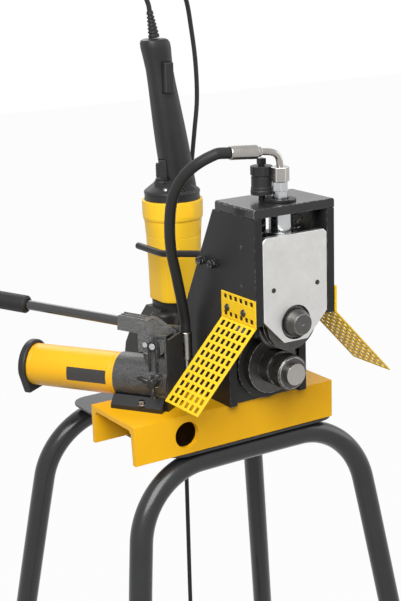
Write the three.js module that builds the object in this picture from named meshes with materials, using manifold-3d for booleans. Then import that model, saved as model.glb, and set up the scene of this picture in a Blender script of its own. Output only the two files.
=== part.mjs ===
// A pipe roll groover: a pressing head on a base channel, a hand pump, a drive unit and their stand.
import * as THREE from "three";
import { mergeVertices } from "three/addons/utils/BufferGeometryUtils.js";
import Module from "manifold-3d";

// Driving dimensions, in millimetres. X runs along the base channel, Y from the head's front to the
// drive and Z up. The head's middle plane is x 0, its front is y 0 and the channel's top is z 0.
const gap = 0.3; // between faces that seat on each other
const running = 0.5; // between faces that turn or slide past each other
const overrun = 2; // how far a cut runs past the faces it opens
const round = 24; // sides of a large round piece
const small = 12; // sides of a small round piece
const medium = 18;
const hexSides = 6;
const quarterTurn = Math.PI / 2;
const samePlace = 0.03;
const arcSteps = 6; // steps of a quarter arc

const channel = {
  left: -210.9,
  length: 330,
  front: 77.3,
  width: 119.3,
  depth: 55,
  web: 7,
  flangeRoot: 9.6,
  flangeTip: 6.8,
  rootRadius: 8,
  holeRadius: 18.5,
  holeX: -128.8,
  holeDrop: 27.9,
};

const stand = {
  centreX: -14,
  plateWidth: 286,
  plateFront: 76,
  plateDepth: 302,
  plateThick: 4,
  plateCorner: 28,
  height: 700,
  tubeRadius: 16,
  tubeSides: 12,
  bendRadius: 110,
  bendSteps: 6,
  cornerReach: 179.5,
  frameInset: 16,
  splayDegrees: 8,
  footRadius: 21,
  footWall: 4,
  footHeight: 34,
  footSole: 8,
};

const head = {
  width: 130,
  height: 285.6,
  topThick: 12.5,
  topDepth: 91.5,
  topEdge: 2,
  wall: 12.75,
  noseBottom: 129.3,
  noseRadius: 8,
  legFront: 65.5,
  slant: 0.523,
};

const guide = { thick: 7.75, width: 18, centreY: 31, bottom: 108 };

const slide = {
  plateThick: 8,
  plateTop: 246.4,
  plateRim: 2.1,
  plateShoulder: 134.2,
  plateToe: 38.2,
  plateCorner: 5,
  holeClear: 1.5,
  blockTop: 241,
  blockBottom: 176,
  cheekFront: 55.6,
  blockBack: 66,
  cheekBottom: 96.5,
  boreClear: 2.5,
  boreFloor: 182,
  glandBottom: 232,
};

const rollers = {
  upperZ: 125.9,
  upperClear: 0.7,
  upperNoseStep: 3,
  upperNose: 9,
  grooveWidth: 9,
  grooveRidge: 2.5,
  lowerZ: 52,
  lowerRadius: 24.5,
  lowerGroove: 3,
  flangeRadius: 40,
  flangeThick: 10,
};

const roomShares = { axle: 0.421, rod: 0.3062, spring: 0.5742 };

const axle = { stick: 11.6, faceInset: 7.5, domeSteps: 3, dimple: 1.6, dimpleDepth: 1.2 };

const bearing = {
  blockBack: 190,
  blockTop: 98,
  coverInset: 1.95,
  coverThick: 8,
  outerRadius: 30,
  innerRadius: 17.5,
  width: 18,
  inset: 3,
  waist: 22,
};

const shaft = { noseRadius: 12, nutRadius: 15, nutThick: 7, journal: 17, driveRadius: 14, driveSides: 6 };

const rod = { centreY: 31.8, pistonTop: 224, pistonBottom: 208, portRadius: 4 };
const gland = { flangeLip: 5, flangeThick: 4 };
const spring = { wire: 0.9, radius: 5.5, curls: 6, curlSteps: 8, sides: 5, y: 34, foot: 206, pocket: 7.5 };

const spindle = { x: -14, y: 54, radius: 4.6, foot: 216, squareSide: 7.2, squareTop: 341, threadTop: 333 };
const knob = {
  lift: 3,
  flangeRadius: 14.5,
  flangeThick: 5.5,
  bodyRadius: 13,
  bodyTop: 318,
  neckRadius: 11.6,
  neckThick: 1.6,
  ringRadius: 14,
  ringTop: 331,
  teeth: 16,
  toothDepth: 0.7,
};
const stepDisc = {
  bore: 12,
  rim: 20.9,
  thin: 2,
  step: 0.45,
  stepCount: 5,
};

const adapter = { barrelRadius: 9.5, barrelTop: 299, hexRadius: 11, hexTop: 310.9, boreRadius: 3 };
const nut = { radius: 12.6, bottom: 311.4, top: 330.8 };
const elbow = { radius: 4.6, riseShare: 0.8, sides: 10, steps: 7, top: 352.9, collarRadius: 6.6, collar: 5 };
const ferrule = { radius: 9.2, upperLength: 39.5, lowerLength: 40, waist: 8.4, groove: 1.2 };
const hose = { radius: 7.5, sides: 10, steps: 17, lead: 15 };
const upperFerrule = { start: [-33.5, 35.6, 353.4], aim: [-39.6, 5.4, 2.2] };
const hosePath = [
  [-92, 43.5, 355.8],
  [-110, 56, 345],
  [-120.5, 76, 327],
  [-125, 98, 297],
  [-121.5, 115, 258],
  [-113, 128, 218],
  [-99, 139, 176],
  [-86.5, 148, 134],
];

const guard = {
  thick: 2,
  front: -2,
  depth: 80,
  tabTop: 165.6,
  bend: 129.2,
  reach: 94.2,
  drop: 100.9,
  pitch: 12.25,
  columns: 6,
  rows: 11,
  slotLong: 8.2,
  slotWide: 7.8,
  screwRadius: 3.2,
  screwY: 25.6,
  screwSpan: 38,
  screwZ: 144.3,
};

const fork = {
  rodRadius: 5,
  sides: 8,
  z: 193.8,
  barFront: 96,
  barBack: 150,
  barThick: 10,
  elbowInset: 5.45,
  elbowY: 172,
  prongClear: 21,
  prongY: 236,
  prongEnd: 305,
  endZ: 186.5,
  bendRadius: 40,
  bendSteps: 3,
};

const pump = {
  clear: 78.6,
  y: 156.8,
  turnDegrees: 123.4,
  baseRight: -40.5,
  baseWidth: 76,
  baseThick: 6,
  flareWidth: 54,
  flareTop: 18,
  axisZ: 38.5,
  bodyRadius: 31,
  bodyRight: -45,
  bodyLeft: 37.3,
  spigotRadius: 27,
  spigotLength: 23,
  bossRadius: 14,
  bossTop: 75,
  columnLeft: -30,
  columnRight: -45.5,
  columnTop: 74.5,
  webThick: 3,
  webTop: 100,
  earInner: 21.6,
  earThick: 5,
  earHalf: 7.8,
  earRound: 8,
  bracketLeft: -22.4,
  bracketTop: 108,
  bracketBar: 3,
  pinZ: 92,
  pistonPinS: -12.5,
  fulcrumS: -25.5,
  pinRadius: 3,
  pinReach: 28.5,
  pistonPinReach: 24,
  pistonRadius: 6,
  pistonFoot: 44,
  pistonRoom: 3,
  eyeHalfWidth: 7,
  eyeLeft: -5.9,
  eyeRight: -21.4,
  eyeBottom: 83,
  eyeTop: 99,
  slotLeft: -9.1,
  slotRight: -19.8,
  slotHalf: 3.8,
  portS: -38,
  portZ: 25,
  portRadius: 6,
};
const tank = { radius: 30, wall: 2.5, end: 182 };
const cap = { front: 175.5, back: 186.5, radius: 35.5, footHalf: 21.4, hipDegrees: 10, steps: 8 };
const yoke = {
  cheekInner: 14.8,
  cheekThick: 5.6,
  left: 0,
  bottom: 80,
  noseFront: 112,
  noseTop: 121,
  noseInset: 2,
  crown: [
    [-10, 119.5],
    [-18, 115.5],
    [-25, 110.5],
  ],
  crownDegrees: 110,
  heelDegrees: 313,
  roundSteps: 7,
  ceiling: 102,
  socketLeft: 36,
  socketRadius: 14,
  socketSides: 4,
  socketRoot: 9,
};
const lever = {
  tiltDegrees: 4.3,
  socketZ: 112.1,
  radius: 7,
  start: 12,
  end: 292,
  gripStart: 184,
  gripEnd: 302,
  gripRadius: 12.8,
  gripEdge: 2.5,
};
const valve = {
  s: -30,
  z: 45,
  stemRadius: 5,
  stemDepth: 14,
  seat: 33.5,
  bossRadius: 9.5,
  hubRadius: 8.5,
  hubLength: 15,
  lobeTurnDegrees: 99,
  lobeReach: 21.5,
  lobeRadius: 4.6,
  lobes: 3,
  lobeThick: 6,
};
const outlet = {
  hexRadius: 9,
  hexEnd: 44,
  blockRadius: 8,
  blockDrop: 9,
  riserRadius: 6,
  riserTop: 51.7,
  w: 51.5,
};

const drive = {
  y: 308,
  housingTop: 249,
  collarBottom: 223,
  collarRadius: 46.5,
  waistBottom: 194,
  upperRadius: 43,
  lowerHalf: 36,
  lowerCorner: 24,
  bottom: 96,
  cavityRadius: 32,
  cavityTop: 236,
};
const gearbox = {
  depth: 44,
  rimHalf: 81,
  rimCentre: 16,
  rimUp: 72,
  rimDown: 62,
  rimWall: 15,
  caseRadius: 42,
  neckRadius: 36,
  neckBottom: 80,
  neckTop: 95.5,
  postX: -34,
  postY: 286,
  postRadius: 22,
  postTop: 84,
  postBottom: 12,
  cavityRadius: 37,
  shoulderHalf: 40,
  webHalf: 9,
};
const gear = { radius: 33.5, width: 18, hubRadius: 21, hubWidth: 34 };
const armature = {
  coreRadius: 25,
  coreBottom: 128,
  coreTop: 214,
  shaftRadius: 5,
  shaftTop: 240,
  fanRadius: 28,
  fanBottom: 112,
  fanTop: 118,
  pinionRadius: 8,
  pinionTop: 99,
  pinionBottom: 88.5,
};
const handle = {
  capTop: 279,
  capRadius: 42,
  capSkirt: 12,
  capNeck: 20,
  foot: 254,
  bottom: 249.3,
  top: 485,
  lean: 0.154,
  leanStart: 255,
  leanOffset: 14.7,
  lowRadius: 26,
  lowZ: 296,
  midRadius: 22.2,
  midZ: 396,
  gripRadius: 20.5,
  gripZ: 440,
  endRadius: 22.5,
  endZ: 474,
  endEdge: 5,
  depthShare: 0.9,
};
const trigger = { bottom: 408, top: 452, width: 15, reach: 6, depth: 12, travel: 6 };
const dial = { x: -19, y: 304, radius: 8.5, top: 309, skirt: 10, skirtThick: 5, seat: 12 };

const cord = {
  radius: 3.5,
  sides: 8,
  steps: 66,
  sleeveLength: 38,
  sleeveRadius: 8,
  sleeveTip: 4.6,
  lead: 8,
  coilLayers: 2,
  coilLoopsEachLayer: 2.75,
  coilPitch: 7.7,
  coilInner: 32,
  coilSteps: 24,
  coilSides: 6,
  coilX: -30,
  coilY: 339,
  coilTurnDegrees: 90,
  tail: 52,
  tailReach: 17.4,
  tailSteps: 4,
  climbTurns: 0.25,
  coilApart: 8,
};
const cordPath = [
  [-31, 309, 545],
  [-22, 313, 568],
  [2, 320, 580],
  [32, 330, 570],
  [54, 339, 538],
  [66, 345, 492],
  [73, 347, 440],
  [74, 348, 385],
  [68, 348, 340],
  [62, 349, 292],
  [58, 352, 230],
  [56, 359, 160],
  [56, 369, 90],
  [57, 380, 20],
  [58, 388, -50],
  [59, 392, -130],
  [60, 394, -220],
  [60, 395, -330],
  [60, 396, -440],
  [60, 396, -560],
  [59, 394.5, -650],
  [56, 393, -700],
  [42, 392.4, -735],
  [18, 392.2, -749],
];
const plug = {
  radius: 18.5,
  length: 36,
  neckRadius: 7,
  neckLength: 16,
  pinRadius: 2.4,
  pinLength: 19,
  pinSpan: 19,
};

const plateTopZ = -channel.depth - gap;
const floorZ = plateTopZ - stand.height;
const wallInner = head.width / 2 - head.wall;
const axleRadius = wallInner * roomShares.axle;
const rodRadius = wallInner * roomShares.rod;
const springX = wallInner * roomShares.spring;
const rodBore = rodRadius + slide.boreClear;
const plateHole = axleRadius + slide.holeClear;
const plateBottom = rollers.upperZ - plateHole - slide.plateRim;
const topPlateBottom = head.height - head.topThick;
const degrees = Math.PI / 180;

const wasm = await Module();
wasm.setup();

// A closed geometry as a solid that can be joined and cut.
function solid(geometry) {
  const bare = geometry.index ? geometry.toNonIndexed() : geometry.clone();
  bare.deleteAttribute("normal");
  bare.deleteAttribute("uv");
  const merged = mergeVertices(bare);
  return new wasm.Manifold(
    new wasm.Mesh({
      numProp: 3,
      vertProperties: merged.attributes.position.array,
      triVerts: new Uint32Array(merged.index.array),
    }),
  );
}

function geometryOf(body) {
  const mesh = body.getMesh();
  const geometry = new THREE.BufferGeometry();
  geometry.setAttribute("position", new THREE.BufferAttribute(mesh.vertProperties, mesh.numProp));
  geometry.setIndex(new THREE.BufferAttribute(mesh.triVerts, 1));
  const flat = geometry.toNonIndexed();
  flat.computeVertexNormals();
  return flat;
}

const join = (first, ...others) => others.reduce((sum, next) => sum.add(next), first);
const cut = (first, ...others) => others.reduce((rest, next) => rest.subtract(next), first);

function block([x0, x1], [y0, y1], [z0, z1]) {
  const geometry = new THREE.BoxGeometry(x1 - x0, y1 - y0, z1 - z0);
  return solid(geometry.translate((x0 + x1) / 2, (y0 + y1) / 2, (z0 + z1) / 2));
}

// A turned body. Its profile points are [radius, place along the axis], and the profile starts and ends
// on the axis or closes.
function turned(profile, axis, centre, sides = round) {
  const points = profile.map(([radius, along]) => new THREE.Vector2(radius, along));
  const geometry = new THREE.LatheGeometry(points, sides);
  if (axis === "z") geometry.rotateX(Math.PI / 2);
  if (axis === "x") geometry.rotateZ(-Math.PI / 2);
  const made = solid(geometry.translate(...centre));
  return made.volume() < 0 ? solid(flipped(geometry)) : made;
}

function flipped(geometry) {
  const turnedRound = geometry.toNonIndexed();
  const place = turnedRound.attributes.position;
  for (let corner = 0; corner < place.count; corner += 3) {
    const second = new THREE.Vector3().fromBufferAttribute(place, corner + 1);
    const third = new THREE.Vector3().fromBufferAttribute(place, corner + 2);
    place.setXYZ(corner + 1, third.x, third.y, third.z);
    place.setXYZ(corner + 2, second.x, second.y, second.z);
  }
  return turnedRound;
}

// A round bar of one radius from one place to another along an axis.
function bar(axis, radius, [from, to], centre, sides = round) {
  return turned([[0, from], [radius, from], [radius, to], [0, to]], axis, centre, sides);
}

function ring(axis, inner, outer, [from, to], centre, sides = round) {
  const profile = [[inner, from], [outer, from], [outer, to], [inner, to], [inner, from]];
  return turned(profile, axis, centre, sides);
}

function outline(points) {
  return new THREE.Shape(points.map(([x, y]) => new THREE.Vector2(x, y)));
}

// A flat shape made thick. Its plane is xy, xz or yz, and it fills the stretch given along the third axis.
const planes = {
  xy: new THREE.Matrix4(),
  xz: new THREE.Matrix4().makeBasis(
    new THREE.Vector3(1, 0, 0),
    new THREE.Vector3(0, 0, 1),
    new THREE.Vector3(0, -1, 0),
  ),
  yz: new THREE.Matrix4().makeBasis(
    new THREE.Vector3(0, 1, 0),
    new THREE.Vector3(0, 0, 1),
    new THREE.Vector3(1, 0, 0),
  ),
};

function slab(shape, plane, [from, to]) {
  const depth = to - from;
  const options = { depth, bevelEnabled: false, curveSegments: arcSteps };
  const geometry = new THREE.ExtrudeGeometry(shape, options);
  geometry.applyMatrix4(planes[plane]);
  if (plane === "xy") geometry.translate(0, 0, from);
  if (plane === "xz") geometry.translate(0, to, 0);
  if (plane === "yz") geometry.translate(from, 0, 0);
  return solid(geometry);
}

function roundedRectangle(halfWidth, halfHeight, corner) {
  const shape = new THREE.Shape();
  const x = halfWidth - corner;
  const y = halfHeight - corner;
  shape.moveTo(x, -halfHeight);
  shape.absarc(x, -y, corner, -Math.PI / 2, 0);
  shape.absarc(x, y, corner, 0, Math.PI / 2);
  shape.absarc(-x, y, corner, Math.PI / 2, Math.PI);
  shape.absarc(-x, -y, corner, Math.PI, Math.PI + quarterTurn);
  return new THREE.Shape(withoutRepeats(shape.getPoints(arcSteps)));
}

function withoutRepeats(points) {
  const kept = points.filter((point, i) => i === 0 || point.distanceTo(points[i - 1]) > samePlace);
  if (kept[0].distanceTo(kept[kept.length - 1]) < samePlace) kept.pop();
  return kept;
}

function polygon(sides, radius, turn = 0) {
  const points = [];
  for (let side = 0; side < sides; side += 1) {
    const angle = turn + (side / sides) * 2 * Math.PI;
    points.push(new THREE.Vector2(radius * Math.cos(angle), radius * Math.sin(angle)));
  }
  return new THREE.Shape(points);
}

// A path through stations, which a tube follows with one step between each two.
class StationPath extends THREE.Curve {
  constructor(stations) {
    super();
    this.stations = stations;
  }

  getPoint(t, target = new THREE.Vector3()) {
    const place = t * (this.stations.length - 1);
    const before = Math.min(Math.floor(place), this.stations.length - 2);
    return target.lerpVectors(this.stations[before], this.stations[before + 1], place - before);
  }

  getTangent(t, target = new THREE.Vector3()) {
    const last = this.stations.length - 1;
    const here = Math.round(t * last);
    const before = this.stations[Math.max(here - 1, 0)];
    const after = this.stations[Math.min(here + 1, last)];
    return target.subVectors(after, before).normalize();
  }

  getUtoTmapping(u) {
    return u;
  }
}

function tube(stations, radius, sides) {
  return solid(
    new THREE.ExtrudeGeometry(polygon(sides, radius), {
      steps: stations.length - 1,
      bevelEnabled: false,
      extrudePath: new StationPath(stations),
    }),
  );
}

// The stations of a bent bar: straight runs between corners that are rounded to one radius.
function bentRoute(corners, bendRadius, bendSteps) {
  const stations = [corners[0].clone()];
  for (let i = 1; i < corners.length - 1; i += 1) {
    const back = new THREE.Vector3().subVectors(corners[i - 1], corners[i]).normalize();
    const onward = new THREE.Vector3().subVectors(corners[i + 1], corners[i]).normalize();
    const half = back.angleTo(onward) / 2;
    const inward = new THREE.Vector3().addVectors(back, onward).normalize();
    const centre = corners[i].clone().addScaledVector(inward, bendRadius / Math.sin(half));
    const start = corners[i].clone().addScaledVector(back, bendRadius / Math.tan(half)).sub(centre);
    const end = corners[i].clone().addScaledVector(onward, bendRadius / Math.tan(half)).sub(centre);
    const axis = new THREE.Vector3().crossVectors(start, end).normalize();
    for (let step = 0; step <= bendSteps; step += 1) {
      const angle = (step / bendSteps) * (Math.PI - 2 * half);
      stations.push(start.clone().applyAxisAngle(axis, angle).add(centre));
    }
  }
  stations.push(corners[corners.length - 1].clone());
  return stations;
}

function leastSelfGap(stations, radius, apart) {
  let least = Infinity;
  for (let i = 0; i < stations.length; i += 1) {
    for (let j = i + apart; j < stations.length; j += 1) {
      least = Math.min(least, stations[i].distanceTo(stations[j]) - 2 * radius);
    }
  }
  return least;
}

const point = ([x, y, z]) => new THREE.Vector3(x, y, z);

const finish = (color, roughness, metalness) => () =>
  new THREE.MeshStandardMaterial({ color, roughness, metalness });
const blackPaint = finish(0x26272a, 0.5, 0.1);
const yellowPaint = finish(0xf6b414, 0.42, 0.0);
const standGrey = finish(0x3b3d40, 0.4, 0.2);
const brightSteel = finish(0xc9cacc, 0.35, 0.8);
const chrome = finish(0xdadcde, 0.12, 1.0);
const darkSteel = finish(0x2c2d2f, 0.45, 0.6);
const blackCasting = finish(0x1d1e20, 0.55, 0.2);
const blackPlastic = finish(0x2a2b2d, 0.5, 0.0);
const blackRubber = finish(0x202122, 0.8, 0.0);
const bronze = finish(0x9c7440, 0.5, 0.8);

const machine = new THREE.Group();

function piece(name, material, body, parent = machine) {
  const mesh = new THREE.Mesh(geometryOf(body), material());
  mesh.name = name;
  parent.add(mesh);
  return mesh;
}

function buildStand() {
  const plate = roundedRectangle(stand.plateWidth / 2, stand.plateDepth / 2, stand.plateCorner);
  const plateMiddle = stand.plateFront + stand.plateDepth / 2;
  const plateBottom = plateTopZ - stand.plateThick;
  const sheet = slab(plate, "xy", [plateBottom, plateTopZ]).translate([stand.centreX, plateMiddle, 0]);
  piece("stand_plate", standGrey, sheet);
  const topZ = plateBottom - gap - stand.tubeRadius;
  const legBottom = floorZ + stand.footSole + gap;
  const splay = (topZ - legBottom) * Math.tan(stand.splayDegrees * degrees);
  const ends = [
    ["front", stand.plateFront + stand.frameInset, -1],
    ["rear", stand.plateFront + stand.plateDepth - stand.frameInset, 1],
  ];
  for (const [end, y, way] of ends) {
    const corner = (side) => new THREE.Vector3(stand.centreX + side * stand.cornerReach, y, topZ);
    const below = (side) => {
      const foot = corner(side);
      const past = 1 + stand.footHeight / (topZ - legBottom);
      foot.x += side * splay * past;
      foot.y += way * splay * past;
      foot.z -= (topZ - legBottom) * past;
      return foot;
    };
    const corners = [below(-1), corner(-1), corner(1), below(1)];
    const route = bentRoute(corners, stand.bendRadius, stand.bendSteps);
    const reach = stand.plateWidth * 2;
    const ground = block([-reach, reach], [-reach, reach * 2], [floorZ - reach, legBottom]);
    piece("stand_frame_" + end, standGrey, cut(tube(route, stand.tubeRadius, stand.tubeSides), ground));
    const socket = tube(route, stand.tubeRadius + gap, stand.tubeSides);
    for (const [name, side] of [["left", -1], ["right", 1]]) {
      const foot = below(side);
      const share = (legBottom + stand.footHeight / 2 - foot.z) / (topZ - foot.z);
      foot.lerp(corner(side), share);
      const top = floorZ + stand.footHeight;
      const cupRadius = stand.footRadius + stand.footWall;
      const cup = bar("z", cupRadius, [floorZ, top], [foot.x, foot.y, 0], small);
      const sole = block([-reach, reach], [-reach, reach * 2], [floorZ - gap, legBottom - gap]);
      const hollow = cut(socket, sole);
      piece("foot_" + end + "_" + name, blackRubber, cut(cup, hollow));
    }
  }
}

function buildChannel() {
  const { width, depth, web, flangeRoot, flangeTip, rootRadius, front } = channel;
  const shape = new THREE.Shape();
  shape.moveTo(0, 0);
  shape.lineTo(0, -depth);
  shape.lineTo(flangeTip, -depth);
  shape.lineTo(flangeRoot, -web - rootRadius);
  shape.quadraticCurveTo(flangeRoot, -web, flangeRoot + rootRadius, -web);
  shape.lineTo(width - flangeRoot - rootRadius, -web);
  shape.quadraticCurveTo(width - flangeRoot, -web, width - flangeRoot, -web - rootRadius);
  shape.lineTo(width - flangeTip, -depth);
  shape.lineTo(width, -depth);
  shape.lineTo(width, 0);
  const beam = slab(shape, "yz", [channel.left, channel.left + channel.length]).translate([0, front, 0]);
  const through = [front - overrun, front + flangeRoot + overrun];
  const hole = bar("y", channel.holeRadius, through, [channel.holeX, 0, -channel.holeDrop]);
  piece("base_channel", yellowPaint, cut(beam, hole));
}

function buildHousing() {
  const top = topPlateBottom - gap;
  const back = channel.front + channel.width;
  const slantAt = (z) => head.topDepth + head.slant * (head.height - z);
  const cornerZ = head.height - (back - head.topDepth) / head.slant;
  const side = outline([
    [0, head.noseBottom],
    [head.legFront - head.noseRadius, head.noseBottom],
    [head.legFront, head.noseBottom - head.noseRadius],
    [head.legFront, gap],
    [back, gap],
    [back, cornerZ],
    [slantAt(top), top],
    [0, top],
  ]);
  piece("side_plate_left", blackPaint, slab(side, "yz", [-head.width / 2, -wallInner]));
  piece("side_plate_right", blackPaint, slab(side, "yz", [wallInner, head.width / 2]));

  const half = head.width / 2;
  const edge = head.topEdge;
  const lid = outline([
    [-half, topPlateBottom],
    [half, topPlateBottom],
    [half, head.height - edge],
    [half - edge, head.height],
    [edge - half, head.height],
    [-half, head.height - edge],
  ]);
  const opening = [topPlateBottom - overrun, head.height + overrun];
  const boss = bar("z", adapter.barrelRadius + running, opening, [0, rod.centreY, 0]);
  const spindleHole = bar("z", spindle.radius + running, opening, [spindle.x, spindle.y, 0], small);
  piece("top_plate", blackPaint, cut(slab(lid, "xz", [0, head.topDepth]), boss, spindleHole));

  const rails = [["left", -1], ["right", 1]];
  for (const [name, way] of rails) {
    const outer = way * (wallInner - gap);
    const inner = way * (wallInner - gap - guide.thick);
    const rail = block(
      [Math.min(outer, inner), Math.max(outer, inner)],
      [guide.centreY - guide.width / 2, guide.centreY + guide.width / 2],
      [guide.bottom, topPlateBottom - gap],
    );
    piece("slide_guide_" + name, brightSteel, rail);
  }

  const blockFront = slide.blockBack + running * 2 + bearing.coverThick;
  const wide = wallInner - gap;
  const frame = block([-wide, wide], [blockFront, bearing.blockBack], [gap, bearing.blockTop]);
  const coverRun = [blockFront - bearing.coverThick, blockFront + overrun];
  const cover = bar("y", wide - bearing.coverInset, coverRun, [0, 0, rollers.lowerZ]);
  const seat = bearing.outerRadius + gap;
  const centre = [0, 0, rollers.lowerZ];
  const coverFace = blockFront - bearing.coverThick;
  const waist = bar("y", bearing.waist, [coverFace - overrun, bearing.blockBack + overrun], centre);
  const seatDepth = bearing.inset + bearing.width;
  const frontSeat = bar("y", seat, [coverFace - overrun, coverFace + seatDepth], centre);
  const rearSeat = bar("y", seat, [bearing.blockBack - seatDepth, bearing.blockBack + overrun], centre);
  piece("bearing_block", blackCasting, cut(join(frame, cover), waist, frontSeat, rearSeat));
  const frontRing = [coverFace + bearing.inset, coverFace + seatDepth - gap];
  const rearRing = [bearing.blockBack - seatDepth + gap, bearing.blockBack - bearing.inset];
  const { innerRadius, outerRadius } = bearing;
  piece("bearing_front", brightSteel, ring("y", innerRadius, outerRadius, frontRing, centre));
  piece("bearing_rear", brightSteel, ring("y", innerRadius, outerRadius, rearRing, centre));
  return { coverFace };
}

function buildShaft(coverFace) {
  const centre = [0, 0, rollers.lowerZ];
  const rollerFront = slide.plateThick + running;
  const flangeBack = slide.blockBack;
  const flangeFront = flangeBack - rollers.flangeThick;
  const middle = (rollerFront + flangeFront) / 2;
  const { lowerRadius, lowerGroove, grooveWidth } = rollers;
  const bore = shaft.noseRadius + gap;
  const grip = [
    [bore, rollerFront],
    [lowerRadius - lowerGroove, rollerFront],
    [lowerRadius, rollerFront + lowerGroove],
    [lowerRadius, middle - grooveWidth / 2],
    [lowerRadius - lowerGroove, middle - grooveWidth / 2],
    [lowerRadius - lowerGroove, middle + grooveWidth / 2],
    [lowerRadius, middle + grooveWidth / 2],
    [lowerRadius, flangeFront],
    [rollers.flangeRadius, flangeFront],
    [rollers.flangeRadius, flangeBack],
    [bore, flangeBack],
    [bore, rollerFront],
  ];
  piece("drive_roller", darkSteel, turned(grip, "y", centre));
  const driveBack = drive.y + gearbox.depth / 2 + shaft.nutThick;
  const spine = [
    [0, rollerFront - gap - shaft.nutThick],
    [shaft.nutRadius, rollerFront - gap - shaft.nutThick],
    [shaft.nutRadius, rollerFront - gap],
    [shaft.noseRadius, rollerFront - gap],
    [shaft.noseRadius, flangeBack + gap],
    [shaft.journal, flangeBack + gap],
    [shaft.journal, bearing.blockBack + bearing.inset],
    [0, bearing.blockBack + bearing.inset],
  ];
  const driveEnd = slab(polygon(shaft.driveSides, shaft.driveRadius), "xz", [
    bearing.blockBack + bearing.inset - overrun,
    driveBack,
  ]).translate([0, 0, rollers.lowerZ]);
  piece("drive_shaft", brightSteel, join(turned(spine, "y", centre), driveEnd));
  return { driveBack, coverFace };
}

function slideOutline(bottom, toe) {
  const half = wallInner - gap;
  const { plateTop, plateCorner, plateShoulder } = slide;
  return outline([
    [-toe, bottom],
    [toe, bottom],
    [half, plateShoulder],
    [half, plateTop - plateCorner],
    [half - plateCorner, plateTop],
    [plateCorner - half, plateTop],
    [-half, plateTop - plateCorner],
    [-half, plateShoulder],
  ]);
}

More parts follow.
